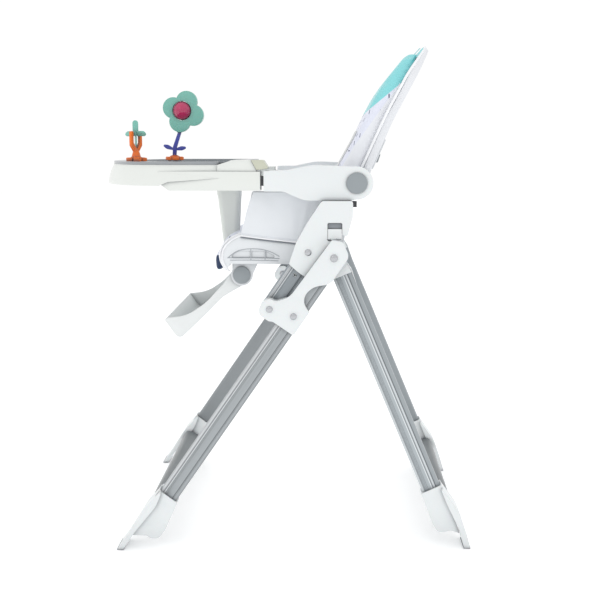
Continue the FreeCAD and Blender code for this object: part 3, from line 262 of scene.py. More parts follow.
def dashGroup():
    # short dashes turned at random, one to a square cell, on a plain ground
    tree, start, end = newGroup("dashPrint",
        [("Place", vector, None), ("Ground", colour, None), ("Ink", colour, None), ("Cell", amount, 0.016),
         ("Length", amount, 0.30), ("Weight", amount, 0.07), ("Share", amount, 0.55)],
        [("Colour", colour)])
    scaled = node(tree, "ShaderNodeVectorMath", operation="DIVIDE")
    size = node(tree, "ShaderNodeCombineXYZ")
    for socket in size.inputs:
        tree.links.new(start.outputs["Cell"], socket)
    tree.links.new(start.outputs["Place"], scaled.inputs[0])
    tree.links.new(size.outputs[0], scaled.inputs[1])
    cell = node(tree, "ShaderNodeVectorMath", operation="FLOOR")
    tree.links.new(scaled.outputs[0], cell.inputs[0])
    inside = node(tree, "ShaderNodeVectorMath", operation="FRACTION")
    tree.links.new(scaled.outputs[0], inside.inputs[0])
    chance = node(tree, "ShaderNodeTexWhiteNoise", noise_dimensions="2D")
    tree.links.new(cell.outputs[0], chance.inputs["Vector"])
    turned = node(tree, "ShaderNodeVectorRotate", rotation_type="Z_AXIS")
    turned.inputs["Center"].default_value = (0.5, 0.5, 0.0)
    tree.links.new(inside.outputs[0], turned.inputs["Vector"])
    tree.links.new(mathNode(tree, "MULTIPLY", chance.outputs["Value"], 6.28), turned.inputs["Angle"])
    split = node(tree, "ShaderNodeSeparateXYZ")
    tree.links.new(turned.outputs[0], split.inputs[0])
    along = mathNode(tree, "ABSOLUTE", mathNode(tree, "SUBTRACT", split.outputs[0], 0.5))
    across = mathNode(tree, "ABSOLUTE", mathNode(tree, "SUBTRACT", split.outputs[1], 0.5))
    short = mathNode(tree, "LESS_THAN", along, start.outputs["Length"])
    thin = mathNode(tree, "LESS_THAN", across, start.outputs["Weight"])
    second = node(tree, "ShaderNodeSeparateColor")
    tree.links.new(chance.outputs["Color"], second.inputs[0])
    kept = mathNode(tree, "LESS_THAN", second.outputs[1], start.outputs["Share"])
    mark = mathNode(tree, "MULTIPLY", mathNode(tree, "MULTIPLY", short, thin), kept)
    printed = mixColour(tree, mark, start.outputs["Ground"], start.outputs["Ink"])
    tree.links.new(printed, end.inputs["Colour"])
    return tree


def weaveGroup():
    # woven cloth with a thin coating: threads both ways and a slow change of tone
    tree, start, end = newGroup("coatedWeave",
        [("Colour", colour, None), ("Threads", amount, 900.0), ("Fuzz", amount, 0.05)],
        [("Colour", colour), ("Height", amount)])
    place = node(tree, "ShaderNodeTexCoord")
    heights = []
    for direction in ("X", "Z"):
        wave = node(tree, "ShaderNodeTexWave", bands_direction=direction)
        wave.inputs["Distortion"].default_value = 0.6
        wave.inputs["Detail"].default_value = 1.0
        tree.links.new(place.outputs["Object"], wave.inputs["Vector"])
        tree.links.new(start.outputs["Threads"], wave.inputs["Scale"])
        heights.append(wave.outputs["Fac"])
    offset = mathNode(tree, "SUBTRACT", speckle(tree, 16.0), 0.5)
    factor = mathNode(tree, "MULTIPLY_ADD", offset, start.outputs["Fuzz"], 1.0)
    tree.links.new(varied(tree, start.outputs["Colour"], factor), end.inputs["Colour"])
    tree.links.new(mathNode(tree, "MAXIMUM", *heights), end.inputs["Height"])
    return tree


mouldedSkinAndShade = mouldedSkinAndShadeGroup()
# bands of painted highlight and painted shade across each section, for light on its ribs and edges and shade
# in its grooves
legBands = [(-16.6, 2.4, 0.6, "Light", 0.62), (-16.6, 0.3, 0.5, "Dark", 0.25),
            (-18.6, 0.3, 0.5, "Dark", 0.3), (-14.6, 0.3, 0.5, "Dark", 0.3),
            (-13.2, 0.4, 0.5, "Dark", 0.35), (-11.2, 0.6, 0.5, "Light", 1.0),
            (9.4, 0.5, 0.6, "Dark", 0.75), (18.0, 0.6, 0.8, "Dark", 0.35)]
railBands = [(place - (44.6 if place < 0 else 43), *band) for place, *band in legBands]
rearBands = [(-17.5, 2.0, 1.2, "Light", 0.35), (-13.5, 0.4, 0.9, "Dark", 0.3),
             (2.2, 0.5, 1.0, "Light", 0.6), (4.6, 0.5, 0.8, "Dark", 0.55),
             (8.0, 0.9, 0.9, "Light", 0.45), (11.0, 0.5, 0.8, "Dark", 0.6), (15.8, 3.4, 1.0, "Dark", 0.22)]
legSection = sectionGroup("legSection", legBands)
railSection = sectionGroup("railSection", railBands)
rearSection = sectionGroup("rearSection", rearBands)
dashPrint = dashGroup()
coatedWeave = weaveGroup()


# materials

def blankMaterial(name):
    material = bpy.data.materials.new(name)
    material.use_nodes = True
    return material, material.node_tree, material.node_tree.nodes["Principled BSDF"]


def placed(tree, group, **values):
    made = tree.nodes.new("ShaderNodeGroup")
    made.node_tree = group
    for label, value in values.items():
        feed(tree, made.inputs[label], value)
    return made


def dressed(tree, shader, skin, strength, distance):
    # a group's colour, roughness and height on the shader
    tree.links.new(skin.outputs["Colour"], shader.inputs["Base Color"])
    if "Roughness" in skin.outputs:
        tree.links.new(skin.outputs["Roughness"], shader.inputs["Roughness"])
    bump = node(tree, "ShaderNodeBump")
    bump.inputs["Strength"].default_value = strength
    bump.inputs["Distance"].default_value = distance
    tree.links.new(skin.outputs["Height"], bump.inputs["Height"])
    tree.links.new(bump.outputs[0], shader.inputs["Normal"])
    return bump


# hollow sets how much painted shade darkens each plastic's hollows
def plastic(name, tint, roughness=0.3, coat=0.3, grain=900.0, bump=0.05, mottle=0.03, subsurface=0.0,
            hollow=0.30):
    material, tree, shader = blankMaterial(name)
    skin = placed(tree, mouldedSkinAndShade, Colour=tint, Roughness=roughness, Grain=grain, Mottle=mottle,
                  Hollow=hollow)
    dressed(tree, shader, skin, bump, 0.0004)
    shader.inputs["Coat Weight"].default_value = coat
    shader.inputs["Coat Roughness"].default_value = 0.12
    shader.inputs["Subsurface Weight"].default_value = subsurface
    shader.inputs["Subsurface Scale"].default_value = 0.004
    return material


legs = {"pivotY": 0.107, "pivotZ": 0.627, "frontLean": 34.3, "rearLean": 22.9}    # metres and degrees


def drawnMetal(name, lean, sign, group, tint, middle):
    # across grows towards the rear; the painted highlight and shade stripes are outside the place middle
    # along X, and inside it the faces are painted darker as shade
    material, tree, shader = blankMaterial(name)
    place = node(tree, "ShaderNodeTexCoord")
    split = node(tree, "ShaderNodeSeparateXYZ")
    tree.links.new(place.outputs["Object"], split.inputs[0])
    angle = math.radians(lean) * sign
    fromY = mathNode(tree, "SUBTRACT", split.outputs["Y"], legs["pivotY"])
    fromZ = mathNode(tree, "SUBTRACT", split.outputs["Z"], legs["pivotZ"])
    across = mathNode(tree, "ADD", mathNode(tree, "MULTIPLY", fromY, math.cos(angle)),
                      mathNode(tree, "MULTIPLY", fromZ, -math.sin(angle)))
    outside = mathNode(tree, "GREATER_THAN", mathNode(tree, "ABSOLUTE", split.outputs["X"]), middle)
    # the colours of the painted highlights and the painted shade
    section = placed(tree, group, Across=across, Outside=outside, Colour=tint, Light=(0.86, 0.88, 0.90),
                     Dark=(0.06, 0.065, 0.07))
    dressed(tree, shader, section, 0.04, 0.0003)
    shader.inputs["Metallic"].default_value = 0.25
    shader.inputs["Anisotropic"].default_value = 0.3
    return material


def bareMetal(name, tint, roughness):
    material, tree, shader = blankMaterial(name)
    skin = placed(tree, mouldedSkinAndShade, Colour=tint, Roughness=roughness, Grain=1500.0, Mottle=0.08)
    dressed(tree, shader, skin, 0.06, 0.0002)
    shader.inputs["Metallic"].default_value = 0.95
    return material


def clothShader(tree, shader, weave, roughness, sheen, coat, crease=0.0):
    weaveBump = dressed(tree, shader, weave, 0.12, 0.0003)
    shader.inputs["Roughness"].default_value = roughness
    shader.inputs["Sheen Weight"].default_value = sheen
    shader.inputs["Coat Weight"].default_value = coat
    if crease:    # broad soft folds under the weave
        folds = node(tree, "ShaderNodeBump")
        folds.inputs["Strength"].default_value = crease
        folds.inputs["Distance"].default_value = 0.02
        tree.links.new(speckle(tree, 15.0, 1.0), folds.inputs["Height"])
        tree.links.new(folds.outputs[0], weaveBump.inputs["Normal"])


def cloth(name, tint, threads, sheen, roughness, coat=0.0):
    material, tree, shader = blankMaterial(name)
    weave = placed(tree, coatedWeave, Colour=tint, Threads=threads)
    clothShader(tree, shader, weave, roughness, sheen, coat)
    return material


def rgb(red, green, blue):
    # from screen values to linear light
    def linear(value):
        value /= 255.0
        return value / 12.92 if value <= 0.04045 else ((value + 0.055) / 1.055) ** 2.4
    return (linear(red), linear(green), linear(blue))


seam = {"y": 0.1210, "z": 0.81, "slope": 0.723}    # slanted edge of the back's printed cloth, in metres
teal, navy = rgb(134, 214, 218), rgb(18, 46, 84)


def behindSeam(past, y, paint):
    # the zone behind the slanted edge, where X is past a place
    return (past, 1, -seam["slope"], y - seam["slope"] * seam["z"], paint)


def printedCloth(name, direction, zones, crease=0.0):
    # dash print with plain zones over it; a zone is where b * Y + c * Z > d and X is past a, in metres
    material, tree, shader = blankMaterial(name)
    place = node(tree, "ShaderNodeTexCoord")
    split = node(tree, "ShaderNodeSeparateXYZ")
    tree.links.new(place.outputs["Object"], split.inputs[0])
    flat = node(tree, "ShaderNodeCombineXYZ")
    tree.links.new(mathNode(tree, "ADD", split.outputs["X"], split.outputs["Y"]), flat.inputs[0])
    tree.links.new(split.outputs[direction], flat.inputs[1])
    dashes = placed(tree, dashPrint, Place=flat.outputs[0], Ground=rgb(226, 229, 243), Ink=rgb(38, 48, 88))
    tint = dashes.outputs["Colour"]
    away = mathNode(tree, "ABSOLUTE", split.outputs["X"])
    for a, b, c, d, paint in zones:
        lean = mathNode(tree, "MULTIPLY", split.outputs["Y"], b)
        value = mathNode(tree, "MULTIPLY_ADD", split.outputs["Z"], c, lean)
        inside = mathNode(tree, "MULTIPLY", mathNode(tree, "GREATER_THAN", value, d),
                          mathNode(tree, "GREATER_THAN", away, a))
        tint = mixColour(tree, inside, tint, paint)
    clothShader(tree, shader, placed(tree, coatedWeave, Colour=tint, Threads=1100.0), 0.5, 0.12, 0.1, crease)
    return material


tealTop = (-1, -2, 2.446, 1.9056, teal)    # the back's headrest zone
finishes = {
    "whitePlastic": plastic("whitePlastic", rgb(227, 231, 232), 0.42, 0.12, subsurface=0.03),
    "trayWhite": plastic("trayWhite", rgb(225, 228, 224), 0.36, 0.2),
    "seatWhite": plastic("seatWhite", rgb(228, 231, 234), 0.45, 0.1),
    "frontLegMetal": drawnMetal("frontLegMetal", legs["frontLean"], 1, legSection, rgb(163, 168, 171), 0.271),
    "rearLegMetal": drawnMetal("rearLegMetal", legs["rearLean"], -1, rearSection, rgb(172, 179, 183), 0.237),
    "railMetal": drawnMetal("railMetal", legs["frontLean"], 1, railSection, rgb(150, 157, 162), 0.252),
    # the footrest's scoop gets stronger painted shade in its hollow
    "scoopWhite": plastic("scoopWhite", rgb(230, 233, 233), 0.45, 0.1, hollow=0.45),
    "barMetal": plastic("barMetal", rgb(128, 132, 134), 0.4, 0.1, 500.0, 0.04, 0.05),
    "discGrey": plastic("discGrey", rgb(146, 153, 157), 0.42, 0.1, 700.0, 0.08),
    "keyGrey": plastic("keyGrey", rgb(135, 140, 146), 0.45, 0.1),
    "steel": bareMetal("steel", (0.50, 0.51, 0.53), 0.22),
    "nylon": plastic("nylon", rgb(50, 52, 54), 0.5, 0.0),
    "soleRubber": plastic("soleRubber", rgb(196, 198, 200), 0.7, 0.0, 500.0, 0.2),
    "buttonOlive": plastic("buttonOlive", rgb(196, 198, 180), 0.35, 0.25),
    "dishGrey": plastic("dishGrey", rgb(150, 154, 158), 0.3, 0.3),
    "blackPlastic": plastic("blackPlastic", rgb(32, 33, 36), 0.4, 0.2),
    "toyTeal": plastic("toyTeal", rgb(122, 188, 174), 0.3, 0.2, subsurface=0.05),
    "toyMagenta": plastic("toyMagenta", rgb(182, 18, 86), 0.12, 0.8),
    "toyViolet": plastic("toyViolet", rgb(58, 68, 166), 0.34, 0.15),
    "toyOrange": plastic("toyOrange", rgb(238, 112, 2), 0.4, 0.06),
    "sideCloth": cloth("sideCloth", rgb(231, 234, 238), 1200.0, 0.1, 0.5, 0.1),
    "coverCloth": printedCloth("coverCloth", "Z",
                               [tealTop, behindSeam(-1, seam["y"], rgb(228, 230, 234))], 0.5),
    "backCloth": printedCloth("backCloth", "Z",
                              [tealTop, behindSeam(0.168, seam["y"] - 0.0015, rgb(233, 235, 240))]),
    "seatCloth": printedCloth("seatCloth", "Y", [(-1, 0, -1, -0.6155, navy), (-1, 0, -1, -0.5845, teal)]),
    # grey for the groove lines, as painted shade
    "grooveShadeGrey": plastic("grooveShadeGrey", rgb(170, 176, 182), 0.5, 0.0),
    "hemGrey": cloth("hemGrey", rgb(140, 146, 154), 900.0, 0.0, 0.6),
    "stitchThread": cloth("stitchThread", rgb(214, 218, 224), 600.0, 0.0, 0.7),
    "webbing": cloth("webbing", rgb(226, 227, 224), 420.0, 0.2, 0.7),
    "piping": cloth("piping", rgb(242, 243, 246), 900.0, 0.1, 0.45, 0.1),
}
print("materials made:", len(finishes))


# mesh tools

def addPiece(name, mesh, body, finish, replaced=()):
    # a piece on its body; with no finish, the mesh keeps its own material
    piece = bpy.data.objects.new(name, mesh)
    scene.collection.objects.link(piece)
    if finish:
        mesh.materials.clear()
        mesh.materials.append(finishes[finish])
    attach(piece, body)
    if replaced:
        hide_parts(*replaced)
    return piece


def smoothed(mesh, degrees):
    # smooth shading, but for edges sharper than the angle
    mesh.polygons.foreach_set("use_smooth", [True] * len(mesh.polygons))
    mesh.set_sharp_from_angle(angle=math.radians(degrees))
    return mesh


def baked(mesh, modifiers):
    # mesh with modifiers applied, as a plain mesh
    holder = bpy.data.objects.new("holder", mesh)
    scene.collection.objects.link(holder)
    for kind, settings in modifiers:
        modifier = holder.modifiers.new(kind.lower(), kind)
        for key, value in settings.items():
            setattr(modifier, key, value)
    graph = bpy.context.evaluated_depsgraph_get()
    result = bpy.data.meshes.new_from_object(holder.evaluated_get(graph))
    bpy.data.objects.remove(holder)
    return result


merging = {"nearest": 3e-6, "flat": 0.5, "mostCorners": 60, "roundedFrom": 32.0}    # metres and degrees


def mergedCopy(nodeName):
    # a CAD node's triangles joined up, with its flat faces whole unless they have very many corners
    maker = bmesh.new()
    maker.from_mesh(nodes[nodeName].data)
    bmesh.ops.remove_doubles(maker, verts=maker.verts, dist=merging["nearest"])
    bmesh.ops.dissolve_limit(maker, angle_limit=math.radians(merging["flat"]), verts=maker.verts,
                             edges=maker.edges)
    large = [face for face in maker.faces if len(face.verts) > merging["mostCorners"]]
    bmesh.ops.triangulate(maker, faces=large)
    mesh = bpy.data.meshes.new(nodeName + "Soft")
    maker.to_mesh(mesh)
    maker.free()
    mesh.materials.clear()
    return mesh


def camelName(name):
    first, *rest = name.split("_")
    return first + "".join(word.capitalize() for word in rest)


petals = {
    "floor": 0.818, "lowest": 0.001, "highest": 0.0045, "lift": 0.005,
    "flower_base": ((-0.040, -0.267), 0.022),    # centre and reach
    "spinner_fork": ((0.152, -0.317), 0.023),
}


def cupped(mesh, centre, reach):
    # raises the upper side of low petals around centre towards their rims
    for vertex in mesh.vertices:
        away = math.hypot(vertex.co.x - centre[0], vertex.co.y - centre[1])
        above = vertex.co.z - petals["floor"]
        if petals["lowest"] < above < petals["highest"] and away > reach * 0.35:
            vertex.co.z += petals["lift"] * math.sin(math.pi * min(away / reach, 1.0) * 0.75)


def softened(nodeName, finish, radius, segments=2):
    # a moulded or metal node with its edges rounded
    start = mergedCopy(nodeName)
    if nodeName in petals:
        cupped(start, *petals[nodeName])
    mesh = baked(start, [("BEVEL", {"width": radius, "segments": segments, "limit_method": "ANGLE",
                                    "angle_limit": math.radians(merging["roundedFrom"]),
                                    "use_clamp_overlap": True})])
    addPiece(camelName(nodeName), smoothed(mesh, 40), bodyOf[nodeName], finish,
             (nodeName,))


# each has its finish and the radius of its edges, in metres
pairedPieces = {
    "front_leg": ("frontLegMetal", 0.0010), "rear_leg": ("rearLegMetal", 0.0010),
    "seat_rail": ("railMetal", 0.0008),
    "front_foot": ("whitePlastic", 0.0016), "rear_foot": ("whitePlastic", 0.0016),
    "hinge_bracket": ("whitePlastic", 0.0016), "rear_leg_cap": ("whitePlastic", 0.0012),
    "slide_housing": ("whitePlastic", 0.0022), "armrest": ("whitePlastic", 0.0045),
    "tray_arm": ("trayWhite", 0.0030), "height_flap": ("whitePlastic", 0.0006),
    "arm_bar": ("blackPlastic", 0.0006),
}
singlePieces = {
    "seat_shell": ("seatWhite", 0.0014), "back_shell": ("coverCloth", 0.003),
    "tray_body": ("trayWhite", 0.002), "tray_insert": ("dishGrey", 0.0018),
    "crotch_post": ("trayWhite", 0.002), "footrest": ("scoopWhite", 0.0018),
    "front_cross_bar": ("barMetal", 0.0008), "rear_cross_bar": ("barMetal", 0.0008),
    "recline_case": ("seatWhite", 0.001), "recline_handle": ("discGrey", 0.001),
    "recline_pins": ("discGrey", 0.0008), "footrest_pins": ("discGrey", 0.0008),
    "frame_rivets": ("steel", 0.0006), "housing_rivets": ("steel", 0.0006), "pivot_bolts": ("steel", 0.0006),
    "height_keys": ("keyGrey", 0.0006),
    "flower_base": ("toyOrange", 0.001), "flower_stem": ("toyViolet", 0.001),
    "flower_head": ("toyTeal", 0.003),
    "spinner_fork": ("toyOrange", 0.001), "spinner": ("toyTeal", 0.0006),
    "tray_button": ("buttonOlive", 0.0012),
    "harness_buckle": ("blackPlastic", 0.002), "strap_anchors": ("blackPlastic", 0.0008),
    "pivot_spacers": ("nylon", 0.0005), "front_sole_pads": ("soleRubber", 0.0005),
    "rear_sole_pads": ("soleRubber", 0.0005), "flower_ball": ("toyMagenta", 0.0005),
}
for name, (finish, radius) in pairedPieces.items():
    for side in ("left", "right"):
        softened(f"{name}_{side}", finish, radius, 3 if radius > 0.002 else 2)
for name, (finish, radius) in singlePieces.items():
    softened(name, finish, radius)
print("moulded and metal pieces made")


# soft goods

def tube(name, points, radius, body, finish):
    # piping, a wire or a groove's painted shade line along a smooth curve
    data = bpy.data.curves.new(name, "CURVE")
    data.dimensions = "3D"
    data.bevel_depth = radius
    data.bevel_resolution = 3
    data.use_fill_caps = True
    spline = data.splines.new("NURBS")
    spline.points.add(len(points) - 1)
    for target, point in zip(spline.points, points):
        target.co = (*point, 1.0)
    spline.use_endpoint_u = True
    spline.order_u = 3
    spline.resolution_u = 6
    holder = bpy.data.objects.new(name, data)
    scene.collection.objects.link(holder)
    graph = bpy.context.evaluated_depsgraph_get()
    mesh = bpy.data.meshes.new_from_object(holder.evaluated_get(graph))
    bpy.data.objects.remove(holder)
    return addPiece(name, smoothed(outward(mesh), 60), body, finish)


def outward(mesh):
    # the mesh with its doubled points joined and its faces turned outwards
    maker = bmesh.new()
    maker.from_mesh(mesh)
    bmesh.ops.remove_doubles(maker, verts=maker.verts, dist=1e-6)
    bmesh.ops.recalc_face_normals(maker, faces=maker.faces)
    maker.to_mesh(mesh)
    maker.free()
    return mesh


def lineAt(line, t):
    # the point at the share t of a polyline's length
    points = [Vector(p) for p in line]
    lengths = [(b - a).length for a, b in zip(points, points[1:])]
    goal = t * sum(lengths)
    for start, stop, length in zip(points, points[1:], lengths):
        if goal <= length:
            return start.lerp(stop, goal / length)
        goal -= length
    return points[-1]


def lofted(mesh, settings):
    # fills the front out, more towards the top of the back
    low, high = settings["loftFrom"], settings["loftTo"]
    for vertex in mesh.vertices:
        share = min(max((vertex.co.z - low) / (high - low), 0.0), 1.0)
        full = settings["loft"] * share * share * (3 - 2 * share)
        front = settings["rearAt"](vertex.co.z) - vertex.co.y
        vertex.co += Vector(backFront) * (full * min(max(front / settings["fade"], 0.0), 1.0))
        vertex.co.x *= settings["widen"]


def swollen(mesh, wall, settings):
    # a pressure cloth; nothing moves towards wall, or further than the most that it may
    before = [vertex.co.copy() for vertex in mesh.vertices]
    holder = bpy.data.objects.new("holder", mesh)
    scene.collection.objects.link(holder)
    sim = holder.modifiers.new("sim", "CLOTH")
    sim.settings.use_pressure = True
    sim.settings.uniform_pressure_force = settings["pressure"]
    sim.settings.effector_weights.gravity = 0.0
    sim.settings.quality = 4
    for step in range(1, settings["frames"] + 1):
        scene.frame_set(step)
    graph = bpy.context.evaluated_depsgraph_get()
    result = bpy.data.meshes.new_from_object(holder.evaluated_get(graph))
    bpy.data.objects.remove(holder)
    scene.frame_set(1)
    for vertex, start in zip(result.vertices, before):
        move = vertex.co - start
        towards = move.dot(wall)
        if towards > 0:
            move -= wall * towards
        if move.length > settings["mostMovement"]:
            move = move.normalized() * settings["mostMovement"]
        vertex.co = start + move
    return result


def puffed(name, nodeName, finish, settings):
    # a cushion blown up from its CAD solid
    mesh = baked(mergedCopy(nodeName), [("REMESH", {"mode": "VOXEL", "voxel_size": settings["voxel"]}),
                                        ("SMOOTH", {"factor": 0.5, "iterations": 3})])
    mesh = swollen(mesh, Vector(settings["wall"]), settings)
    if "loft" in settings:
        lofted(mesh, settings)
    mesh = baked(mesh, [("SMOOTH", {"factor": 0.5, "iterations": 2}),
                        ("SUBSURF", {"levels": 1, "render_levels": 1})])
    mesh.materials.clear()
    piece = addPiece(name, smoothed(outward(mesh), 60), bodyOf[nodeName], finish,
                     (nodeName,))
    return piece


backFront, intoBack = (0, -0.90, 0.43), (0, 0.90, -0.43)    # square to the back
# where the back's cushion meets its shell at the sides, as (y, z)
splitLine = [(0.163, 0.800), (0.1672, 0.808), (0.2085, 0.9047), (0.2625, 1.006), (0.2835, 1.049)]


def splitY(z):
    for (y0, z0), (y1, z1) in zip(splitLine, splitLine[1:]):
        if z <= z1:
            return y0 + (y1 - y0) * (z - z0) / (z1 - z0)
    return splitLine[-1][0]


seatCushion = {"voxel": 0.006, "pressure": 4.0, "frames": 14, "mostMovement": 0.005, "fill": 0.6,
               "wall": (0, 0, -1)}
backCushion = {**seatCushion, "mostMovement": 0.006, "wall": (0, 0.92, -0.39), "rearAt": splitY,
               "fade": 0.012, "loft": 0.011, "loftFrom": 0.86, "loftTo": 0.97, "widen": 1.018}
seatPad = puffed("seatPad", "seat_pad", "seatCloth", seatCushion)
backPad = puffed("backPad", "back_pad", "backCloth", backCushion)
print("cushions made")


def coons(top, bottom, left, right, across, down):
    # a grid of points between four border lines; top and bottom run alike, left and right run down
    rows = []
    for j in range(down + 1):
        t = j / down
        row = []
        for i in range(across + 1):
            s = i / across
            ruled = lineAt(top, s) * (1 - t) + lineAt(bottom, s) * t
            joined = lineAt(left, t) * (1 - s) + lineAt(right, t) * s
            corners = (lineAt(top, 0) * (1 - s) * (1 - t) + lineAt(top, 1) * s * (1 - t)
                       + lineAt(bottom, 0) * (1 - s) * t + lineAt(bottom, 1) * s * t)
            row.append(ruled + joined - corners)
        rows.append(row)
    return rows


sideDrape = {
    "x": 0.2058, "across": 70, "down": 60, "thickness": 0.0012, "bulge": 0.0025,
    "ripple": 0.0012, "ripplesPerMetre": 26,
    "top": [(-0.0615, 0.7548), (0.001, 0.7547), (0.021, 0.7485), (0.041, 0.7408), (0.0815, 0.7375)],
    "left": [(-0.0615, 0.7548), (-0.0705, 0.735), (-0.0775, 0.711), (-0.083, 0.688), (-0.0895, 0.6645)],
    "right": [(0.0815, 0.7375), (0.066, 0.709), (0.052, 0.686), (0.041, 0.667), (0.0325, 0.6505)],
    "bottom": [(-0.0895, 0.6645), (-0.05, 0.6592), (-0.01, 0.6550), (0.0325, 0.6505)],
    # each crease starts at (y, z), runs towards (y, z) and has a height and a half width
    "creases": [((0.036, 0.655), (0.052, 0.735), 0.0022, 0.006),
                ((0.024, 0.652), (0.020, 0.716), 0.0014, 0.008),
                ((-0.084, 0.672), (-0.020, 0.700), 0.0010, 0.009),
                ((-0.060, 0.748), (0.010, 0.690), 0.0009, 0.010)],
}


def creaseHeight(point):
    total = 0.0
    for start, stop, height, half in sideDrape["creases"]:
        a, b = Vector(start), Vector(stop)
        along = min(max((point - a).dot(b - a) / (b - a).length_squared, 0.0), 1.0)
        away = (point - (a + (b - a) * along)).length
        total += height * (1.0 - 0.7 * along) * math.exp(-(away / half) ** 2)
    return total


def panelMesh(side):
    across, down = sideDrape["across"], sideDrape["down"]
    borders = [sideDrape[edge] for edge in ("top", "bottom", "left", "right")]
    rate = sideDrape["ripplesPerMetre"]
    points = []
    for j, row in enumerate(coons(*borders, across, down)):
        for i, point in enumerate(row):
            middle = math.sin(math.pi * i / across) * math.sin(math.pi * j / down)
            wave = noise.noise(Vector((point.x * rate, point.y * rate, 1.7))) * sideDrape["ripple"]
            out = sideDrape["bulge"] * middle + (wave + creaseHeight(point)) * min(1.0, 5 * middle)
            points.append((side * (sideDrape["x"] + max(out, 0.0) * 0.8), point.x, point.y))
    step = across + 1
    faces = [(j * step + i, j * step + i + 1, (j + 1) * step + i + 1, (j + 1) * step + i)
             for j in range(down) for i in range(across)]
    mesh = bpy.data.meshes.new("panel")
    mesh.from_pydata(points, [], faces)
    maker = bmesh.new()
    maker.from_mesh(mesh)
    bmesh.ops.recalc_face_normals(maker, faces=maker.faces)
    if sum(face.normal.x for face in maker.faces) * side < 0:
        bmesh.ops.reverse_faces(maker, faces=maker.faces)
    maker.to_mesh(mesh)
    maker.free()
    return baked(mesh, [("SOLIDIFY", {"thickness": sideDrape["thickness"], "offset": 1.0})])


def sidePanel(side, label):
    nodeName = "side_panel_" + label.lower()
    piece = addPiece("sidePanel" + label, smoothed(panelMesh(side), 60), "seat_carrier", "sideCloth",
                     (nodeName,))
    bottom, x = sideDrape["bottom"], sideDrape["x"]
    hemLine = [bottom[0]] + [lineAt(bottom, share) for share in (0.2, 0.4, 0.6, 0.8, 1.0)]
    pipingLine = [lineAt(bottom, k / 8) for k in range(9)]
    hem = tube("panelHem" + label, [(side * (x + 0.0012), y, z - 0.0042) for y, z in hemLine],
               0.0009, "seat_carrier", "hemGrey")
    cord = tube("panelPiping" + label, [(side * (x + 0.0018), y, z) for y, z in pipingLine],
                0.0020, "seat_carrier", "piping")


for side, label in sides:
    sidePanel(side, label)
print("side panels made")


harness = {
    "width": 0.025, "thickness": 0.0022, "corner": 0.0008,
    "shoulderX": 0.0505, "shoulderLine": [(0.0802, 0.722), (0.123, 0.806), (0.1643, 0.880)],
    "lapStart": 0.022, "lapLength": 0.150, "lapY": -0.0285,
    "crotchStart": -0.080, "crotchLength": 0.034,
    "ribbonLift": 0.0016, "lapLift": 0.0008,    # above the cushions' surface
    "clearOfBack": (-0.06, 0.028), "clearOfSeat": 0.72,    # a shift in Y and Z, and a height
}


def ribbon(name, path, normal, body, replaced=()):
    # a flat band with rounded edges along a path; its width runs along X
    half, edge = harness["width"] / 2, harness["thickness"] / 2
    section = []
    steps = 6
    for sign in (1, -1):
        for k in range(steps + 1):
            angle = math.pi * (k / steps - 0.5)
            section.append((sign * (half - edge + edge * math.cos(angle)), sign * edge * math.sin(angle)))
    points = [tuple(Vector(point) + Vector((a, 0, 0)) + Vector(normal) * b)
              for point in path for a, b in section]
    count = len(section)
    faces = []
    for row in range(len(path) - 1):
        for k in range(count):
            n = (k + 1) % count
            faces.append((row * count + k, row * count + n, (row + 1) * count + n, (row + 1) * count + k))
    faces.append(tuple(range(count)))
    faces.append(tuple((len(path) - 1) * count + k for k in reversed(range(count))))
    mesh = bpy.data.meshes.new(name)
    mesh.from_pydata(points, [], faces)
    addPiece(name, smoothed(outward(mesh), 50), body, "webbing", replaced)


def restOn(piece, start, direction, lift):
    # the place on a cushion's surface along direction from start, lifted off it
    tree = BVHTree.FromPolygons([vertex.co for vertex in piece.data.vertices],
                                [face.vertices for face in piece.data.polygons])
    ahead = Vector(direction).normalized()
    hit = tree.ray_cast(Vector(start), ahead)[0]
    return hit - ahead * lift if hit else Vector(start)


def shoulderStraps():
    awayY, awayZ = harness["clearOfBack"]
    for index, x in enumerate((harness["shoulderX"], -harness["shoulderX"])):
        path = []
        for k in range(25):
            y, z = lineAt(harness["shoulderLine"], k / 24)
            path.append(restOn(backPad, (x, y + awayY, z + awayZ), intoBack, harness["ribbonLift"]))
        ribbon(f"shoulderStrap{index + 1}", path, backFront, "backrest",
               ("shoulder_straps",) if index == 0 else ())


def lapStraps():
    half, thick = harness["width"] / 2, harness["thickness"]
    over, slot = harness["clearOfSeat"], slotOf["lap_straps"]
    for side, label in sides:
        corners = []
        for k in range(17):
            x = side * (harness["lapStart"] + harness["lapLength"] * (k / 16))
            x, y, z = restOn(seatPad, (x, harness["lapY"], over), (0, 0, -1), harness["lapLift"])
            corners += [(x, y - half, z), (x, y + half, z),
                        (x, y + half, z + thick), (x, y - half, z + thick)]
        faces = [(r * 4 + k, r * 4 + (k + 1) % 4, (r + 1) * 4 + (k + 1) % 4, (r + 1) * 4 + k)
                 for r in range(16) for k in range(4)]
        faces += [(0, 1, 2, 3), tuple(len(corners) - 4 + k for k in (3, 2, 1, 0))]
        mesh = bpy.data.meshes.new("lap")
        mesh.from_pydata(corners, [], faces)
        mesh = baked(outward(mesh), [("BEVEL", {"width": harness["corner"], "segments": 2,
                                                "limit_method": "ANGLE"})])
        addPiece("lapStrap" + label, smoothed(mesh, 50), "seat_carrier", "webbing",
                 ("lap_straps",) if side > 0 else ())
    first, length = harness["crotchStart"], harness["crotchLength"]
    path = [restOn(seatPad, (0, first + length * k / 8, over), (0, 0, -1), harness["ribbonLift"])
            for k in range(9)]
    ribbon("crotchStrap", path, (0, 0, 1), "seat_carrier")


shoulderStraps()
lapStraps()
print("straps made")
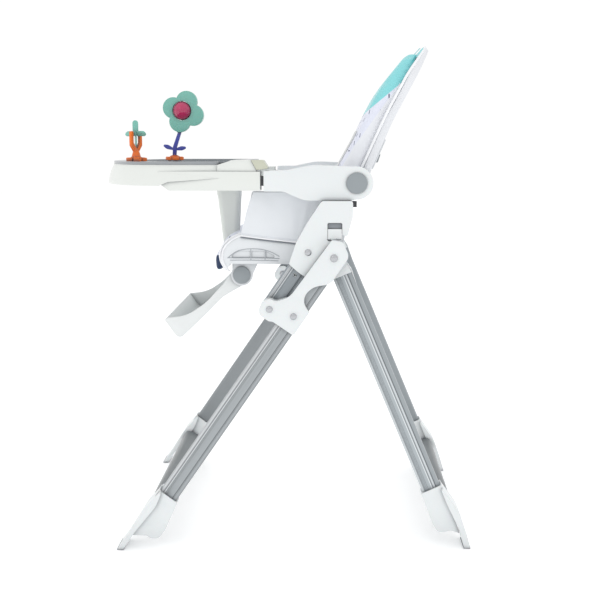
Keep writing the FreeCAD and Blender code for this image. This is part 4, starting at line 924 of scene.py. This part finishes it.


# piping and painted groove shade lines; lines are given as (y, z)

lip = {
    "rows": ((0.2035, 0.0, 0.0), (0.1985, -0.0052, 0.00156)),    # each row's X and shifts in Y and Z
    "line": [(-0.078, 0.668), (-0.094, 0.6625), (-0.109, 0.6545), (-0.1225, 0.6420), (-0.1285, 0.628),
             (-0.1288, 0.612), (-0.1228, 0.598), (-0.1145, 0.588)],
    "radius": 0.0026,
}
# grey lines laid in the shell's moulded grooves, standing for their shade as painted shade
grooveShades = {
    "x": 0.2049, "radius": 0.0007,
    "lines": [[(-0.116, 0.6175), (-0.103, 0.6285), (-0.088, 0.6345), (-0.066, 0.6365), (-0.042, 0.6350),
               (-0.022, 0.6285), (-0.008, 0.6200)],
              [(-0.118, 0.6168), (-0.060, 0.6178), (-0.008, 0.6158)],
              [(-0.112, 0.6118), (-0.060, 0.6128), (-0.010, 0.6108)],
              [(-0.0680, 0.6120), (-0.0682, 0.6350)],
              [(-0.0380, 0.6120), (-0.0378, 0.6340)]],
}
grip = {
    "strokes": ([(0.0925, 0.6640), (0.0955, 0.6622), (0.1005, 0.6646)],
                [(0.1108, 0.6646), (0.1160, 0.6624), (0.1212, 0.6642)]),
    "radius": 0.0008,
}
backEdge = {"half": 0.1822, "top": 1.0590, "corner": 0.104, "sideHeights": (0.80, 0.86, 0.92),
            "radius": 0.0030}


def backOutline():
    # the back's rounded outline as (x, z), up one side and down the other
    half, top, corner = backEdge["half"], backEdge["top"], backEdge["corner"]
    points = []
    for sign in (-1, 1):
        part = [(sign * half, z) for z in backEdge["sideHeights"]]
        for k in range(9):
            angle = math.pi / 2 * k / 8
            out, up = corner * math.cos(angle), corner * math.sin(angle)
            part.append((sign * (half - corner + out), top - corner + up))
        points += part if sign < 0 else part[::-1]
    return points


def backPipingY(z):
    # on the cushion's edge, and near the top on the slanted seam behind it
    return max(splitY(z) - 0.001, seam["y"] + seam["slope"] * (z - seam["z"]))


for side, label in sides:
    for index, (x, shiftY, shiftZ) in enumerate(lip["rows"]):
        line = [(side * x, y + shiftY, z + shiftZ) for y, z in lip["line"]]
        tube(f"lipPiping{label}{index + 1}", line, lip["radius"], "seat_carrier",
             "piping")
    # the grooves are drawn as thin grey lines of painted shade
    for index, line in enumerate(grooveShades["lines"]):
        tube(f"shellGrooveShade{label}{index + 1}", [(side * grooveShades["x"], y, z) for y, z in line],
             grooveShades["radius"], "seat_carrier", "grooveShadeGrey")
tube("backPiping", [(x, backPipingY(z), z) for x, z in backOutline()], backEdge["radius"], "backrest",
     "piping")
for side, label in sides:
    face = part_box("height_flap_left")[1][0] - 0.0002
    for index, stroke in enumerate(grip["strokes"]):
        tube(f"flapGrip{label}{index + 1}", [(side * face, y, z) for y, z in stroke], grip["radius"],
             "height_release_" + label.lower(), "keyGrey")
print("piping made")


# small repeated details

def detailTree():
    # small parts set out along a line: the group's inputs are the line's pitch and the part's size
    tree = bpy.data.node_groups.new("detailRow", "GeometryNodeTree")
    tree.interface.new_socket("Geometry", in_out="INPUT", socket_type="NodeSocketGeometry")
    pitch = tree.interface.new_socket("Pitch", in_out="INPUT", socket_type="NodeSocketFloat")
    size = tree.interface.new_socket("Size", in_out="INPUT", socket_type="NodeSocketVector")
    tint = tree.interface.new_socket("Material", in_out="INPUT", socket_type="NodeSocketMaterial")
    tree.interface.new_socket("Geometry", in_out="OUTPUT", socket_type="NodeSocketGeometry")
    start, end = tree.nodes.new("NodeGroupInput"), tree.nodes.new("NodeGroupOutput")
    toCurve = tree.nodes.new("GeometryNodeMeshToCurve")
    resample = tree.nodes.new("GeometryNodeResampleCurve")
    resample.mode = "LENGTH"
    block = tree.nodes.new("GeometryNodeMeshCube")
    tangent = tree.nodes.new("GeometryNodeInputTangent")
    align = tree.nodes.new("FunctionNodeAlignEulerToVector")
    align.axis = "X"
    scatter = tree.nodes.new("GeometryNodeInstanceOnPoints")
    realize = tree.nodes.new("GeometryNodeRealizeInstances")
    paint = tree.nodes.new("GeometryNodeSetMaterial")
    link = tree.links.new
    link(start.outputs["Geometry"], toCurve.inputs["Mesh"])
    link(toCurve.outputs["Curve"], resample.inputs["Curve"])
    link(start.outputs["Pitch"], resample.inputs["Length"])
    link(start.outputs["Size"], block.inputs["Size"])
    link(resample.outputs["Curve"], scatter.inputs["Points"])
    link(block.outputs["Mesh"], scatter.inputs["Instance"])
    link(tangent.outputs["Tangent"], align.inputs["Vector"])
    link(align.outputs["Rotation"], scatter.inputs["Rotation"])
    link(scatter.outputs["Instances"], realize.inputs["Geometry"])
    link(realize.outputs["Geometry"], paint.inputs["Geometry"])
    link(start.outputs["Material"], paint.inputs["Material"])
    link(paint.outputs["Geometry"], end.inputs["Geometry"])
    return tree, pitch.identifier, size.identifier, tint.identifier


detailRow, pitchKey, sizeKey, materialKey = detailTree()
stitch = {
    "pitch": 0.0042, "size": (0.0027, 0.0007, 0.0007), "x": 0.2078,
    "line": [(-0.085, 0.6690), (-0.05, 0.6640), (-0.01, 0.6598), (0.030, 0.6555)],
}


def stitches(name, points, body):
    # a row of stitches along points
    line = bpy.data.meshes.new(name + "Line")
    line.from_pydata(points, [(i, i + 1) for i in range(len(points) - 1)], [])
    holder = bpy.data.objects.new(name, line)
    scene.collection.objects.link(holder)
    row = holder.modifiers.new("row", "NODES")
    row.node_group = detailRow
    row[pitchKey] = stitch["pitch"]
    row[sizeKey] = stitch["size"]
    row[materialKey] = finishes["stitchThread"]
    graph = bpy.context.evaluated_depsgraph_get()
    mesh = bpy.data.meshes.new_from_object(holder.evaluated_get(graph))
    bpy.data.objects.remove(holder)
    addPiece(name, mesh, body, None)


bush = {"count": 4, "first": -0.0765, "pitch": 0.030, "across": -0.04475, "ring": 0.0028, "wire": 0.0010,
        "x": 0.2626}


def holeBush(name, side, along):
    # a white bush in a hole of the seat rail, at a distance up the rail
    lean = math.radians(legs["frontLean"])
    y = legs["pivotY"] + bush["across"] * math.cos(lean) + along * math.sin(lean)
    z = legs["pivotZ"] - bush["across"] * math.sin(lean) + along * math.cos(lean)
    turns = [k * 0.4 for k in range(15)]    # radians, just short of a full turn
    wide = bush["ring"]
    ring = [(side * bush["x"], y + wide * math.cos(a), z + wide * math.sin(a)) for a in turns]
    tube(name, ring, bush["wire"], "frame", "whitePlastic")


for side, label in sides:
    for index in range(bush["count"]):
        holeBush(f"holeBush{label}{index + 1}", side, bush["first"] + bush["pitch"] * index)
    line = [lineAt(stitch["line"], k / 12) for k in range(13)]
    stitches("panelStitches" + label, [(side * stitch["x"], y, z) for y, z in line], "seat_carrier")
print("bushes and stitches made")
